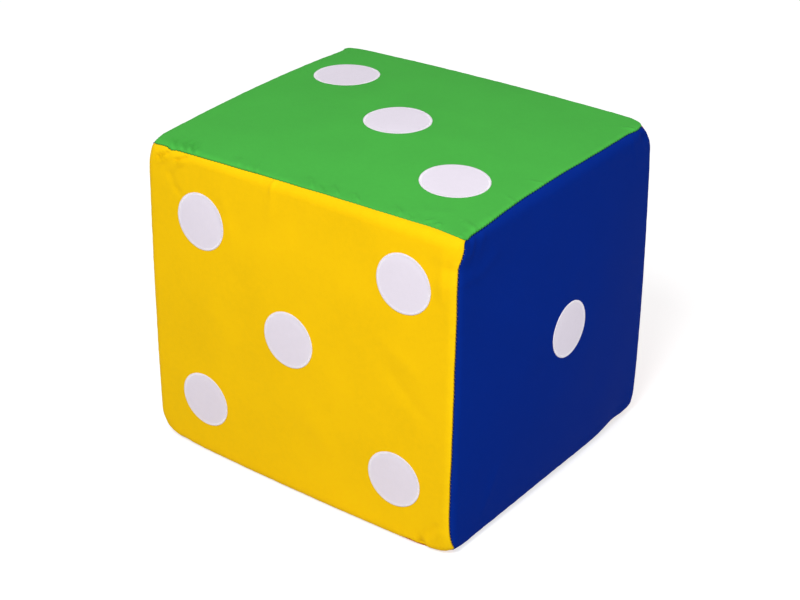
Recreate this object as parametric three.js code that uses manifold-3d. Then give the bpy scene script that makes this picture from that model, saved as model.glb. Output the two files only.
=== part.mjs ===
// A soft play die: a foam block in a zipped fabric cover of sewn panels, with white fabric pips
// that are satin-stitched round their edges.
// Millimetres, +Z up. The five faces -Y, the one faces +X and the three faces up. The origin lies
// on the ground, under the middle of the block.
import * as THREE from "three";
import { mergeVertices } from "three/addons/utils/BufferGeometryUtils.js";
import Module from "manifold-3d";

const wasm = await Module();
wasm.setup();

// Block, measured from seam to seam
const SEAM_WIDTH = 296;
const SEAM_DEPTH = 269;
const SEAM_HEIGHT = 266;
const EDGE_RADIUS = 8;
const SEAM_BOW = 2;
const CORNER_PULL = 4;
const CORNER_REACH = 22;

// Crown of each panel's middle above its rounded edges
const FRONT_CROWN = 3.4;
const RIGHT_CROWN = 9.3;
const BACK_CROWN = 3.6;
const LEFT_CROWN = 7;
const TOP_CROWN = 6.3;

// Cover
const PANEL_THICKNESS = 1.4;
const SEAM_ALLOWANCE = 5;
const ALLOWANCE_THICKNESS = 1;
const SEAM_GAP = 0.3;
const CORE_CLEARANCE = 0.3;
const CORE_CHAMFER = 12;

// Pips, each inset from its panel's seams to its own middle
const FRONT_PIP_DIAMETER = 48;
const RIGHT_PIP_DIAMETER = 47;
const TOP_PIP_DIAMETER = 56;
const HIDDEN_PIP_DIAMETER = 48;
const FRONT_PIP_INSET = 51.5;
const TOP_PIP_INSET_ACROSS = 49.5;
const TOP_PIP_INSET_UP = 71.5;
const BACK_PIP_INSET_ACROSS = 60;
const BACK_PIP_INSET_UP = 71;
const SIX_PIP_INSET_ACROSS = 74.5;
const SIX_PIP_INSET_UP = 53;
const FOUR_PIP_INSET = 56;
const PIP_THICKNESS = 0.5;
const RIM_WIDTH = 2.8;
const RIM_HEIGHT = 0.6;
const PATCH_CLEARANCE = 0.3;
const POCKET_COVER = 0.1;

// How far the seen pips were sewn off their even places, across and up
const FRONT_PIP_DRIFTS = [[1, 1], [0, 0], [5, 1], [7.5, 8], [-3.5, 7.5]];
const RIGHT_PIP_DRIFTS = [[2.5, 9]];
const TOP_PIP_DRIFTS = [[-4, -2.5], [-4.5, 0], [-5, 2.5]];

// Zip, set across the back a little above the bottom seam
const ZIP_HEIGHT = 26;
const ZIP_GAP = 13;
const ZIP_FLATTENING = 11;
const ZIP_END_ROOM = 1.5;
const TAPE_WIDTH = 9.5;
const TAPE_THICKNESS = 0.5;
const TAPE_DEPTH = 0.9;
const TAPE_END_SETBACK = 7;
const CHAIN_END_SETBACK = 18;
const CHAIN_SPLIT = 1.4;
const COIL_WIDTH = 2.5;
const COIL_HEIGHT = 1.6;
const STOP_LENGTH = 3;
const FIT_CLEARANCE = 0.3;

// Slider and pull tab
const SLIDER_LENGTH = 11;
const PLATE_THICKNESS = 0.9;
const CHEEK_THICKNESS = 1;
const BRIDGE_WIDTH = 0.7;
const BRIDGE_LENGTH = 3;
const BAIL_SPAN = 6.4;
const BAIL_HEIGHT = 3.8;
const BAIL_WIDTH = 1.6;
const BAIL_THICKNESS = 0.9;
const TAB_LENGTH = 24;
const TAB_WIDTH = 7;
const TAB_THICKNESS = 1.1;
const TAB_ARM_WIDTH = 1.6;
const TAB_WINDOW = 5.4;

// Facets
const GRID_MIDDLE_LINES = 4;
const LINES_OUTSIDE_CHAMFER = 3;
const PIP_SEGMENTS = 24;
const TAB_END_SEGMENTS = 8;
const MERGE_DISTANCE = 1e-4;

const HALF = new THREE.Vector3(SEAM_WIDTH / 2, SEAM_DEPTH / 2, SEAM_HEIGHT / 2);
const EDGE_REACH = EDGE_RADIUS / Math.SQRT2;
const EDGE_RISE = EDGE_RADIUS - EDGE_REACH;
const CENTRE_Z = EDGE_RISE + HALF.z;
const CORE_OFFSET = PANEL_THICKNESS + CORE_CLEARANCE;
const POCKET_DEPTH = PATCH_CLEARANCE + RIM_HEIGHT + POCKET_COVER;

const COLOURS = {
  yellow: 0xf2c10d,
  green: 0x3fae3c,
  blue: 0x0a2178,
  red: 0xc8202a,
  violet: 0x6a2c8e,
  orange: 0xe8731a,
  white: 0xe8e0ea,
  thread: 0xf4f0f6,
  foam: 0xe9dfae,
  zip: 0x8f1a22,
  nickel: 0xb9bcc0,
};

const fabric = (colour) =>
  new THREE.MeshStandardMaterial({ color: colour, roughness: 0.6, metalness: 0 });
const metal = new THREE.MeshStandardMaterial({
  color: COLOURS.nickel,
  roughness: 0.3,
  metalness: 1,
});

// Each face has two directions in its plane and its outward normal.
const X = new THREE.Vector3(1, 0, 0);
const Y = new THREE.Vector3(0, 1, 0);
const Z = new THREE.Vector3(0, 0, 1);

function makeFace(across, up, crown, pressed = false, zipped = false) {
  const normal = new THREE.Vector3().crossVectors(across, up);
  return { across, up, normal, crown, pressed, zipped };
}

const FACES = {
  front: makeFace(X, Z, FRONT_CROWN),
  right: makeFace(Y, Z, RIGHT_CROWN),
  back: makeFace(X.clone().negate(), Z, BACK_CROWN, false, true),
  left: makeFace(Y.clone().negate(), Z, LEFT_CROWN),
  top: makeFace(X, Y, TOP_CROWN),
  bottom: makeFace(X, Y.clone().negate(), 0, true),
};

function halfAlong(direction, inset) {
  return Math.abs(direction.dot(HALF)) - inset;
}

// The rounded edge: 0 at the seam, 1 where the foam's edge radius meets the face.
function edgeProfile(distance) {
  if (distance >= EDGE_REACH) {
    return 1;
  }
  const run = EDGE_REACH - distance;
  return (Math.sqrt(EDGE_RADIUS ** 2 - run ** 2) - EDGE_REACH) / EDGE_RISE;
}

// How far a corner is drawn in: all of it up to the setback, fading to none at the corner's reach.
function cornerWeight(distance, setback) {
  const past = Math.max(0, distance - setback);
  return Math.max(0, 1 - past / CORNER_REACH) ** 2;
}

// The ground presses the bottom seams straight, so only the other seams bow outwards.
function bowAlong(direction, position) {
  const downwards = direction.z * position < 0;
  return downwards ? 0 : SEAM_BOW;
}

// A point of the cover at u, v from -1 to 1 across a face, or of a smaller body inside it.
function surfacePoint(face, u, v, inset, setback = 0) {
  const halfU = halfAlong(face.across, inset);
  const halfV = halfAlong(face.up, inset);
  const halfN = halfAlong(face.normal, inset);
  const distanceU = (1 - Math.abs(u)) * halfU;
  const distanceV = (1 - Math.abs(v)) * halfV;
  const rise = EDGE_RISE * edgeProfile(distanceU) * edgeProfile(distanceV);
  const cornerShare = cornerWeight(distanceU, setback) * cornerWeight(distanceV, setback);
  const pull = CORNER_PULL * cornerShare;
  const seamBow = face.pressed ? 0 : SEAM_BOW;
  const sideBow = seamBow * (1 - v ** 2);
  const middle = (1 - u ** 2) * (face.crown * (1 - v ** 2) + seamBow * v ** 2);
  const height = v * halfV + CENTRE_Z;
  const straightened = Math.exp(-(((height - ZIP_HEIGHT) / ZIP_FLATTENING) ** 2));
  const swell = face.zipped ? middle * (1 - straightened) : middle;
  const bowU = bowAlong(face.across, u) * u ** 3 * (1 - v ** 2);
  const bowV = bowAlong(face.up, v) * v ** 3 * (1 - u ** 2);
  return new THREE.Vector3(0, 0, CENTRE_Z)
    .addScaledVector(face.across, u * halfU + bowU - Math.sign(u) * pull)
    .addScaledVector(face.up, v * halfV + bowV - Math.sign(v) * pull)
    .addScaledVector(face.normal, halfN + sideBow + swell + rise - pull);
}

// Grid lines from -1 to 1, close together over the rounded edges.
function gridLines(half, border) {
  const nearEdge = [border, EDGE_REACH / 2, EDGE_REACH, CORE_CHAMFER, CORNER_REACH];
  const outer = nearEdge.map((distance) => 1 - distance / half);
  const reach = outer[outer.length - 1];
  const middle = [];
  for (let k = 1; k <= GRID_MIDDLE_LINES; k++) {
    middle.push(reach * ((2 * k) / (GRID_MIDDLE_LINES + 1) - 1));
  }
  return [...outer.map((line) => -line), ...middle, ...outer.toReversed()];
}

// Collects points and triangles, and hands back one closed geometry.
class Shell {
  constructor() {
    this.points = [];
    this.triangles = [];
  }

  add(point) {
    this.points.push(point);
    return this.points.length - 1;
  }

  quad(a, b, c, d) {
    this.triangles.push([a, b, c], [a, c, d]);
  }

  grid(us, vs, pointAt, inward) {
    const rows = vs.map((v) => us.map((u) => this.add(pointAt(u, v))));
    for (let j = 0; j + 1 < vs.length; j++) {
      for (let i = 0; i + 1 < us.length; i++) {
        const [a, b] = [rows[j][i], rows[j][i + 1]];
        const [d, c] = [rows[j + 1][i], rows[j + 1][i + 1]];
        this.quad(a, inward ? d : b, c, inward ? b : d);
      }
    }
    return rows;
  }

  // A wall between two closed loops that run anticlockwise, seen from the first loop's side.
  wall(loop, next) {
    loop.forEach((a, k) => {
      const k2 = (k + 1) % loop.length;
      this.quad(next[k], next[k2], loop[k2], a);
    });
  }

  cap(loop, centre, inward) {
    loop.forEach((a, k) => {
      const b = loop[(k + 1) % loop.length];
      this.triangles.push(inward ? [b, a, centre] : [a, b, centre]);
    });
  }

  geometry() {
    const position = new Float32Array(this.points.flatMap((p) => [p.x, p.y, p.z]));
    return new THREE.BufferGeometry()
      .setAttribute("position", new THREE.BufferAttribute(position, 3))
      .setIndex(this.triangles.flat());
  }
}

// The grid's rim as a closed anticlockwise loop of row and column places.
function rimPlaces(columns, rows) {
  const places = [];
  for (let i = 0; i < columns - 1; i++) {
    places.push([0, i]);
  }
  for (let j = 0; j < rows - 1; j++) {
    places.push([j, columns - 1]);
  }
  for (let i = columns - 1; i > 0; i--) {
    places.push([rows - 1, i]);
  }
  for (let j = rows - 1; j > 0; j--) {
    places.push([j, 0]);
  }
  return places;
}

// One sewn panel: its outside, its inside and the seam allowance that is turned in all round.
function panelGeometry(face) {
  const shell = new Shell();
  const halfU = halfAlong(face.across, 0);
  const halfV = halfAlong(face.up, 0);
  const outsideU = gridLines(halfU, SEAM_GAP / 2);
  const outsideV = gridLines(halfV, SEAM_GAP / 2);
  const insideU = gridLines(halfU, ALLOWANCE_THICKNESS);
  const insideV = gridLines(halfV, ALLOWANCE_THICKNESS);
  const outside = shell.grid(outsideU, outsideV, (u, v) => surfacePoint(face, u, v, 0), false);
  const inside = shell.grid(
    insideU,
    insideV,
    (u, v) => surfacePoint(face, u, v, PANEL_THICKNESS),
    true,
  );
  const places = rimPlaces(outsideU.length, outsideV.length);

  function allowanceLoop(offMitre) {
    const shift = offMitre / Math.SQRT2;
    return places.map(([j, i]) => {
      const sideU = i === 0 ? -1 : i === outsideU.length - 1 ? 1 : 0;
      const sideV = j === 0 ? -1 : j === outsideV.length - 1 ? 1 : 0;
      const u = sideU || outsideU[i];
      const v = sideV || outsideV[j];
      const point = surfacePoint(face, u, v, SEAM_ALLOWANCE)
        .addScaledVector(face.normal, shift)
        .addScaledVector(face.across, -sideU * shift)
        .addScaledVector(face.up, -sideV * shift);
      return shell.add(point);
    });
  }

  const loops = [
    places.map(([j, i]) => outside[j][i]),
    allowanceLoop(SEAM_GAP / 2),
    allowanceLoop(SEAM_GAP / 2 + ALLOWANCE_THICKNESS),
    places.map(([j, i]) => inside[j][i]),
  ];
  for (let k = 0; k + 1 < loops.length; k++) {
    shell.wall(loops[k], loops[k + 1]);
  }
  return shell.geometry();
}

function insideChamfer(lines) {
  return lines.slice(LINES_OUTSIDE_CHAMFER, -LINES_OUTSIDE_CHAMFER);
}

// The foam block, with its edges taken off where the seam allowances lie.
function coreGeometry() {
  const shell = new Shell();
  for (const face of Object.values(FACES)) {
    const us = insideChamfer(gridLines(halfAlong(face.across, 0), 0));
    const vs = insideChamfer(gridLines(halfAlong(face.up, 0), 0));
    const pointAt = (u, v) => surfacePoint(face, u, v, CORE_OFFSET, CORE_CHAMFER);
    face.coreRows = shell.grid(us, vs, pointAt, false);
  }

  const { front, right, back, left, top, bottom } = FACES;
  const firstRow = (face) => face.coreRows[0];
  const lastRow = (face) => face.coreRows[face.coreRows.length - 1];
  const firstColumn = (face) => face.coreRows.map((row) => row[0]);
  const lastColumn = (face) => face.coreRows.map((row) => row[row.length - 1]);

  function chamfer(low, high) {
    for (let k = 0; k + 1 < low.length; k++) {
      shell.quad(low[k], low[k + 1], high[k + 1], high[k]);
    }
  }

  const ring = [front, right, back, left];
  ring.forEach((face, k) => {
    chamfer(firstColumn(ring[(k + 1) % 4]), lastColumn(face));
  });
  const topSides = [
    firstRow(top),
    lastColumn(top),
    lastRow(top).toReversed(),
    firstColumn(top).toReversed(),
  ];
  const bottomSides = [
    lastRow(bottom),
    lastColumn(bottom).toReversed(),
    firstRow(bottom).toReversed(),
    firstColumn(bottom),
  ];
  ring.forEach((face, k) => {
    chamfer(lastRow(face), topSides[k]);
    chamfer(bottomSides[k], firstRow(face));
  });
  ring.forEach((face, k) => {
    const next = ring[(k + 1) % 4];
    shell.triangles.push([lastColumn(face).at(-1), firstColumn(next).at(-1), topSides[k].at(-1)]);
    shell.triangles.push([firstColumn(next)[0], lastColumn(face)[0], bottomSides[k].at(-1)]);
  });
  return shell.geometry();
}

// A point on a face, given in millimetres from its middle and lifted off the fabric.
function patchPoint(face, across, up, lift) {
  const u = across / halfAlong(face.across, 0);
  const v = up / halfAlong(face.up, 0);
  return surfacePoint(face, u, v, 0).addScaledVector(face.normal, lift);
}

function circle(shell, face, pip, radius, lift) {
  const loop = [];
  for (let k = 0; k < PIP_SEGMENTS; k++) {
    const angle = (2 * Math.PI * k) / PIP_SEGMENTS;
    const across = pip.across + radius * Math.cos(angle);
    const up = pip.up + radius * Math.sin(angle);
    loop.push(shell.add(patchPoint(face, across, up, lift)));
  }
  return loop;
}

function pipBase(face) {
  return face.pressed ? PATCH_CLEARANCE - POCKET_DEPTH : PATCH_CLEARANCE;
}

// A disc that follows the fabric, from one lift off it to another.
function discGeometry(face, pip, radius, low, high) {
  const shell = new Shell();
  const upper = circle(shell, face, pip, radius, high);
  const lower = circle(shell, face, pip, radius, low);
  shell.cap(upper, shell.add(patchPoint(face, pip.across, pip.up, high)), false);
  shell.wall(upper, lower);
  shell.cap(lower, shell.add(patchPoint(face, pip.across, pip.up, low)), true);
  return shell.geometry();
}

function pipGeometry(face, pip, radius) {
  const base = pipBase(face);
  return discGeometry(face, pip, radius, base, base + PIP_THICKNESS);
}

function rimGeometry(face, pip, radius) {
  const shell = new Shell();
  const base = pipBase(face);
  const inner = radius + PATCH_CLEARANCE;
  const ridge = circle(shell, face, pip, inner + RIM_WIDTH / 2, base + RIM_HEIGHT);
  const outside = circle(shell, face, pip, inner + RIM_WIDTH, base);
  const inside = circle(shell, face, pip, inner, base);
  shell.wall(ridge, outside);
  shell.wall(outside, inside);
  shell.wall(inside, ridge);
  return shell.geometry();
}

function box(width, depth, height, x, y, z) {
  return new THREE.BoxGeometry(width, depth, height).translate(x, y, z);
}

function toManifold(geometry) {
  const bare = geometry.clone();
  bare.deleteAttribute("normal");
  bare.deleteAttribute("uv");
  const merged = mergeVertices(bare, MERGE_DISTANCE);
  return new wasm.Manifold(
    new wasm.Mesh({
      numProp: 3,
      vertProperties: merged.attributes.position.array,
      triVerts: new Uint32Array(merged.index.array),
    }),
  );
}

function toGeometry(solid) {
  const mesh = solid.getMesh();
  return new THREE.BufferGeometry()
    .setAttribute("position", new THREE.BufferAttribute(mesh.vertProperties, 3))
    .setIndex(new THREE.BufferAttribute(mesh.triVerts, 1));
}

function join(...geometries) {
  return toGeometry(geometries.map(toManifold).reduce((whole, piece) => whole.add(piece)));
}

function cut(geometry, ...tools) {
  const whole = toManifold(geometry);
  return toGeometry(tools.map(toManifold).reduce((rest, tool) => rest.subtract(tool), whole));
}

const die = new THREE.Group();

function addMesh(name, geometry, material) {
  const mesh = new THREE.Mesh(geometry, material);
  mesh.name = name;
  die.add(mesh);
  return mesh;
}

function pipPlace(face, insetAcross, insetUp) {
  return { across: halfAlong(face.across, insetAcross), up: halfAlong(face.up, insetUp) };
}

const FRONT_PIP = pipPlace(FACES.front, FRONT_PIP_INSET, FRONT_PIP_INSET);
const TOP_PIP = pipPlace(FACES.top, TOP_PIP_INSET_ACROSS, TOP_PIP_INSET_UP);
const BACK_PIP = pipPlace(FACES.back, BACK_PIP_INSET_ACROSS, BACK_PIP_INSET_UP);
const SIX_PIP = pipPlace(FACES.left, SIX_PIP_INSET_ACROSS, SIX_PIP_INSET_UP);
const FOUR_PIP = pipPlace(FACES.bottom, FOUR_PIP_INSET, FOUR_PIP_INSET);

function fourCorners({ across, up }) {
  return [
    { across: -across, up: -up },
    { across, up: -up },
    { across: -across, up },
    { across, up },
  ];
}

function sewnOff(places, drifts) {
  return places.map(({ across, up }, k) => {
    const [driftAcross, driftUp] = drifts[k];
    return { across: across + driftAcross, up: up + driftUp };
  });
}

const MIDDLE = { across: 0, up: 0 };
const PIPS = {
  front: {
    count: 5,
    diameter: FRONT_PIP_DIAMETER,
    places: sewnOff([...fourCorners(FRONT_PIP), MIDDLE], FRONT_PIP_DRIFTS),
  },
  right: {
    count: 1,
    diameter: RIGHT_PIP_DIAMETER,
    places: sewnOff([MIDDLE], RIGHT_PIP_DRIFTS),
  },
  back: {
    count: 2,
    diameter: HIDDEN_PIP_DIAMETER,
    places: [
      { across: -BACK_PIP.across, up: BACK_PIP.up },
      { across: BACK_PIP.across, up: -BACK_PIP.up },
    ],
  },
  left: {
    count: 6,
    diameter: HIDDEN_PIP_DIAMETER,
    places: [
      ...fourCorners(SIX_PIP),
      { across: -SIX_PIP.across, up: 0 },
      { across: SIX_PIP.across, up: 0 },
    ],
  },
  top: {
    count: 3,
    diameter: TOP_PIP_DIAMETER,
    places: sewnOff(
      [
        { across: -TOP_PIP.across, up: TOP_PIP.up },
        MIDDLE,
        { across: TOP_PIP.across, up: -TOP_PIP.up },
      ],
      TOP_PIP_DRIFTS,
    ),
  },
  bottom: {
    count: 4,
    diameter: HIDDEN_PIP_DIAMETER,
    places: fourCorners(FOUR_PIP),
  },
};

function addPips(side) {
  const face = FACES[side];
  const { count, diameter, places } = PIPS[side];
  const radius = diameter / 2 - RIM_WIDTH - PATCH_CLEARANCE;
  places.forEach((pip, k) => {
    const name = "pip_" + count + "_" + (k + 1);
    addMesh(name, pipGeometry(face, pip, radius), fabric(COLOURS.white));
    addMesh(name + "_rim", rimGeometry(face, pip, radius), fabric(COLOURS.thread));
  });
}

// The bottom pips lie in pockets, so the die stands flat on its panel.
function bottomPanel() {
  const { diameter, places } = PIPS.bottom;
  const radius = diameter / 2 + PATCH_CLEARANCE;
  const pockets = places.map((pip) =>
    discGeometry(FACES.bottom, pip, radius, -POCKET_DEPTH, POCKET_DEPTH),
  );
  return cut(panelGeometry(FACES.bottom), ...pockets);
}

// Levels of the zip behind the cover's outside, measured along +Y at the zip's height
const zipV = (ZIP_HEIGHT - CENTRE_Z) / HALF.z;
const COVER_Y = HALF.y + SEAM_BOW * (1 - zipV ** 2) + EDGE_RISE;
const TAPE_OUT_Y = COVER_Y - PANEL_THICKNESS - TAPE_DEPTH;
const TAPE_IN_Y = TAPE_OUT_Y - TAPE_THICKNESS;
const COIL_LOW_Y = TAPE_OUT_Y + FIT_CLEARANCE;
const COIL_TOP_Y = COIL_LOW_Y + COIL_HEIGHT;
const COIL_OUT = CHAIN_SPLIT / 2 + COIL_WIDTH;
const CHAIN_HALF = HALF.x - CHAIN_END_SETBACK;
const TAPE_HALF = HALF.x - TAPE_END_SETBACK;
const PLATE_HALF = COIL_OUT + FIT_CLEARANCE + CHEEK_THICKNESS;
const TOP_PLATE_Y = COIL_TOP_Y + FIT_CLEARANCE;
const BOTTOM_PLATE_Y = TAPE_IN_Y - FIT_CLEARANCE - PLATE_THICKNESS;
const BAIL_Y = TOP_PLATE_Y + PLATE_THICKNESS;
const HINGE_Y = BAIL_Y + BAIL_HEIGHT - BAIL_THICKNESS - FIT_CLEARANCE - TAB_THICKNESS / Math.SQRT2;
const SLIDER_X = -CHAIN_HALF + FIT_CLEARANCE + SLIDER_LENGTH / 2;

// Two boxes take the foam away behind the tapes and, deeper, behind the slider.
function zippedCore() {
  const tapeDepth = COVER_Y - TAPE_IN_Y + FIT_CLEARANCE;
  const plateDepth = COVER_Y - BOTTOM_PLATE_Y + FIT_CLEARANCE;
  const reach = TAPE_WIDTH + FIT_CLEARANCE;
  const above = BACK_CROWN + SEAM_BOW;

  function channel(depth, halfHeight) {
    const y = COVER_Y + (above - depth) / 2;
    return box(2 * SEAM_WIDTH, above + depth, 2 * halfHeight, 0, y, ZIP_HEIGHT);
  }

  const tapeChannel = channel(tapeDepth, reach);
  const sliderChannel = channel(plateDepth, PLATE_HALF + FIT_CLEARANCE);
  return cut(coreGeometry(), tapeChannel, sliderChannel);
}

// The back panel has a slot for the zip, which ends just past the chain's stops.
function backPanel() {
  const slotHalf = CHAIN_HALF + FIT_CLEARANCE + STOP_LENGTH + ZIP_END_ROOM;
  const slot = box(2 * slotHalf, SEAM_DEPTH / 2, ZIP_GAP, 0, COVER_Y, ZIP_HEIGHT);
  return cut(panelGeometry(FACES.back), slot);
}

function tape(direction) {
  const inner = CHAIN_SPLIT / 2 + FIT_CLEARANCE;
  const width = TAPE_WIDTH - inner;
  const z = ZIP_HEIGHT + direction * (inner + width / 2);
  return box(2 * TAPE_HALF, TAPE_THICKNESS, width, 0, TAPE_OUT_Y - TAPE_THICKNESS / 2, z);
}

function coil(direction) {
  const z = ZIP_HEIGHT + direction * (CHAIN_SPLIT / 2 + COIL_WIDTH / 2);
  const y = COIL_LOW_Y + COIL_HEIGHT / 2;
  return box(2 * CHAIN_HALF, COIL_HEIGHT, COIL_WIDTH, 0, y, z);
}

function stop(low, high, end) {
  const x = end * (CHAIN_HALF + FIT_CLEARANCE + STOP_LENGTH / 2);
  const y = COIL_LOW_Y + COIL_HEIGHT / 2;
  return box(STOP_LENGTH, COIL_HEIGHT, high - low, x, y, ZIP_HEIGHT + (low + high) / 2);
}

function sliderGeometry() {
  const height = TOP_PLATE_Y + PLATE_THICKNESS - BOTTOM_PLATE_Y;
  const cheekLow = TAPE_OUT_Y + FIT_CLEARANCE;
  const cheekHeight = BAIL_Y - cheekLow;
  const cheekZ = COIL_OUT + FIT_CLEARANCE + CHEEK_THICKNESS / 2;
  const legX = (BAIL_SPAN - BAIL_THICKNESS) / 2;
  const plate = (y) =>
    box(SLIDER_LENGTH, PLATE_THICKNESS, 2 * PLATE_HALF, 0, y + PLATE_THICKNESS / 2, 0);
  const cheek = (side) =>
    box(SLIDER_LENGTH, cheekHeight, CHEEK_THICKNESS, 0, cheekLow + cheekHeight / 2, side * cheekZ);
  const leg = (side) =>
    box(BAIL_THICKNESS, BAIL_HEIGHT, BAIL_WIDTH, side * legX, BAIL_Y + BAIL_HEIGHT / 2, 0);
  const bridge = box(BRIDGE_LENGTH, height, BRIDGE_WIDTH, 0, BOTTOM_PLATE_Y + height / 2, 0);
  const bailY = BAIL_Y + BAIL_HEIGHT - BAIL_THICKNESS / 2;
  const bail = box(BAIL_SPAN, BAIL_THICKNESS, BAIL_WIDTH, 0, bailY, 0);
  return join(
    plate(TOP_PLATE_Y),
    plate(BOTTOM_PLATE_Y),
    cheek(-1),
    cheek(1),
    bridge,
    leg(-1),
    leg(1),
    bail,
  );
}

// The tab's bar lies under the bail, and its window lets the bail through as it swings.
function tabGeometry() {
  const bar = TAB_THICKNESS / 2;
  const half = TAB_WIDTH / 2;
  const outline = new THREE.Shape();
  outline.moveTo(-bar, -half);
  outline.lineTo(TAB_LENGTH - half, -half);
  outline.absarc(TAB_LENGTH - half, 0, half, -Math.PI / 2, Math.PI / 2, false);
  outline.lineTo(-bar, half);
  outline.closePath();
  const opening = half - TAB_ARM_WIDTH;
  const slot = new THREE.Path();
  slot.moveTo(bar, -opening);
  slot.lineTo(bar, opening);
  slot.lineTo(bar + TAB_WINDOW, opening);
  slot.lineTo(bar + TAB_WINDOW, -opening);
  slot.closePath();
  outline.holes.push(slot);
  return new THREE.ExtrudeGeometry(outline, {
    depth: TAB_THICKNESS,
    bevelEnabled: false,
    curveSegments: TAB_END_SEGMENTS,
  })
    .translate(0, 0, -TAB_THICKNESS / 2)
    .rotateX(Math.PI / 2);
}

addMesh("foam_block", zippedCore(), fabric(COLOURS.foam));
addMesh("panel_5_front", panelGeometry(FACES.front), fabric(COLOURS.yellow));
addMesh("panel_1_right", panelGeometry(FACES.right), fabric(COLOURS.blue));
addMesh("panel_2_back", backPanel(), fabric(COLOURS.red));
addMesh("panel_6_left", panelGeometry(FACES.left), fabric(COLOURS.violet));
addMesh("panel_3_top", panelGeometry(FACES.top), fabric(COLOURS.green));
addMesh("panel_4_bottom", bottomPanel(), fabric(COLOURS.orange));
Object.keys(PIPS).forEach(addPips);

addMesh("zip_tape_upper", tape(1), fabric(COLOURS.zip));
addMesh("zip_tape_lower", tape(-1), fabric(COLOURS.zip));
addMesh("zip_coil_upper", coil(1), fabric(COLOURS.zip));
addMesh("zip_coil_lower", coil(-1), fabric(COLOURS.zip));
addMesh("zip_bottom_stop", stop(-COIL_OUT, COIL_OUT, 1), metal.clone());
addMesh("zip_top_stop_upper", stop(CHAIN_SPLIT / 2, COIL_OUT, -1), metal.clone());
addMesh("zip_top_stop_lower", stop(-COIL_OUT, -CHAIN_SPLIT / 2, -1), metal.clone());
addMesh("zip_slider", sliderGeometry(), metal.clone()).position.set(SLIDER_X, 0, ZIP_HEIGHT);
addMesh("zip_pull_tab", tabGeometry(), metal.clone()).position.set(SLIDER_X, HINGE_Y, ZIP_HEIGHT);

export default die;
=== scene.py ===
"""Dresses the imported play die: a foam block in a zipped cover of six sewn fabric panels, whose
white pips are edged with satin stitch.

Metres, +Z up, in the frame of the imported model. The five faces -Y, the one faces +X and the
three faces up.
"""

import itertools
import logging
import math
from contextlib import contextmanager
from dataclasses import dataclass
from enum import Enum
from typing import Iterable, Iterator, Sequence

import bmesh
import bpy
import numpy as np
from mathutils import Matrix, Vector
from mathutils.bvhtree import BVHTree


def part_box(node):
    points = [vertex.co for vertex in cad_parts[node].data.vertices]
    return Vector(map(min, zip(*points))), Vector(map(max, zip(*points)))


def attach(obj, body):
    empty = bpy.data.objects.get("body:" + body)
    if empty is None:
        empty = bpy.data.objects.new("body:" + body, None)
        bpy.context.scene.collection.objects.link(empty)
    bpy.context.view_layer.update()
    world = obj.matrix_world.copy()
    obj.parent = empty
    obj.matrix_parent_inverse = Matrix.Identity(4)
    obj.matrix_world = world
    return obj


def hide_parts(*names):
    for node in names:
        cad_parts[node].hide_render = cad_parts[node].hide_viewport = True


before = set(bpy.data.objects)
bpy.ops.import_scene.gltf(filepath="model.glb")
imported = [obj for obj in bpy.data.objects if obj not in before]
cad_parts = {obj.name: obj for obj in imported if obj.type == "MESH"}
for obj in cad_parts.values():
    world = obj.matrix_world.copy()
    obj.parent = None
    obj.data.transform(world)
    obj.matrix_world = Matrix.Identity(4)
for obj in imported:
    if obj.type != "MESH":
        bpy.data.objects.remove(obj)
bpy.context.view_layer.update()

LOG = logging.getLogger("play_die")

Triple = tuple[float, float, float]
Colour = Triple
Signs = tuple[int, int, int]
Grid = np.ndarray
Piece = bpy.types.Object
Socket = bpy.types.NodeSocket
Tree = bpy.types.NodeTree

X = np.array([1.0, 0.0, 0.0])
Y = np.array([0.0, 1.0, 0.0])
Z = np.array([0.0, 0.0, 1.0])
NOWHERE = np.zeros(3)
TURN = 2 * math.pi

STITCH_PITCH = 0.0034
SEAM_ALLOWANCE = 0.0045
FABRIC_THICKNESS = 0.00045


def colour(red: int, green: int, blue: int) -> Colour:
    """Turns a colour as seen on a screen, 0 to 255, into the linear one that a shader takes."""

    def linear(channel: int) -> float:
        value = channel / 255
        return value / 12.92 if value <= 0.04045 else ((value + 0.055) / 1.055) ** 2.4

    return (linear(red), linear(green), linear(blue))


def darker(tint: Colour, share: float) -> Colour:
    """A share of a colour's brightness."""
    return tuple(channel * share for channel in tint)


def smooth(share: Grid) -> Grid:
    """A smooth step from 0 at 0 to 1 at 1."""
    held = np.clip(share, 0.0, 1.0)
    return held * held * (3.0 - 2.0 * held)


def unit(vectors: Grid) -> Grid:
    """The vectors at length one."""
    return vectors / np.linalg.norm(vectors, axis=-1, keepdims=True)


class Side(Enum):
    """The six sides of the die as it stands."""

    FRONT = "front"
    RIGHT = "right"
    BACK = "back"
    LEFT = "left"
    TOP = "top"
    BOTTOM = "bottom"


@dataclass(frozen=True)
class Crease:
    """A fold line in a panel, from one point to another, measured from the panel's middle.

    A positive height is a ridge and a negative one a furrow.
    """

    start: tuple[float, float]
    end: tuple[float, float]
    height: float
    width: float

    def lift(self, across: Grid, up: Grid) -> Grid:
        """How far the crease lifts the cloth at these places."""
        begin = np.array(self.start)
        run = np.array(self.end) - begin
        length = float(np.linalg.norm(run))
        run = run / length
        along = (across - begin[0]) * run[0] + (up - begin[1]) * run[1]
        aside = (across - begin[0]) * run[1] - (up - begin[1]) * run[0]
        ends = smooth((along + self.width) / (4 * self.width))
        ends = ends * smooth((length + self.width - along) / (4 * self.width))
        return self.height * ends * np.exp(-((aside / self.width) ** 2))


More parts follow.
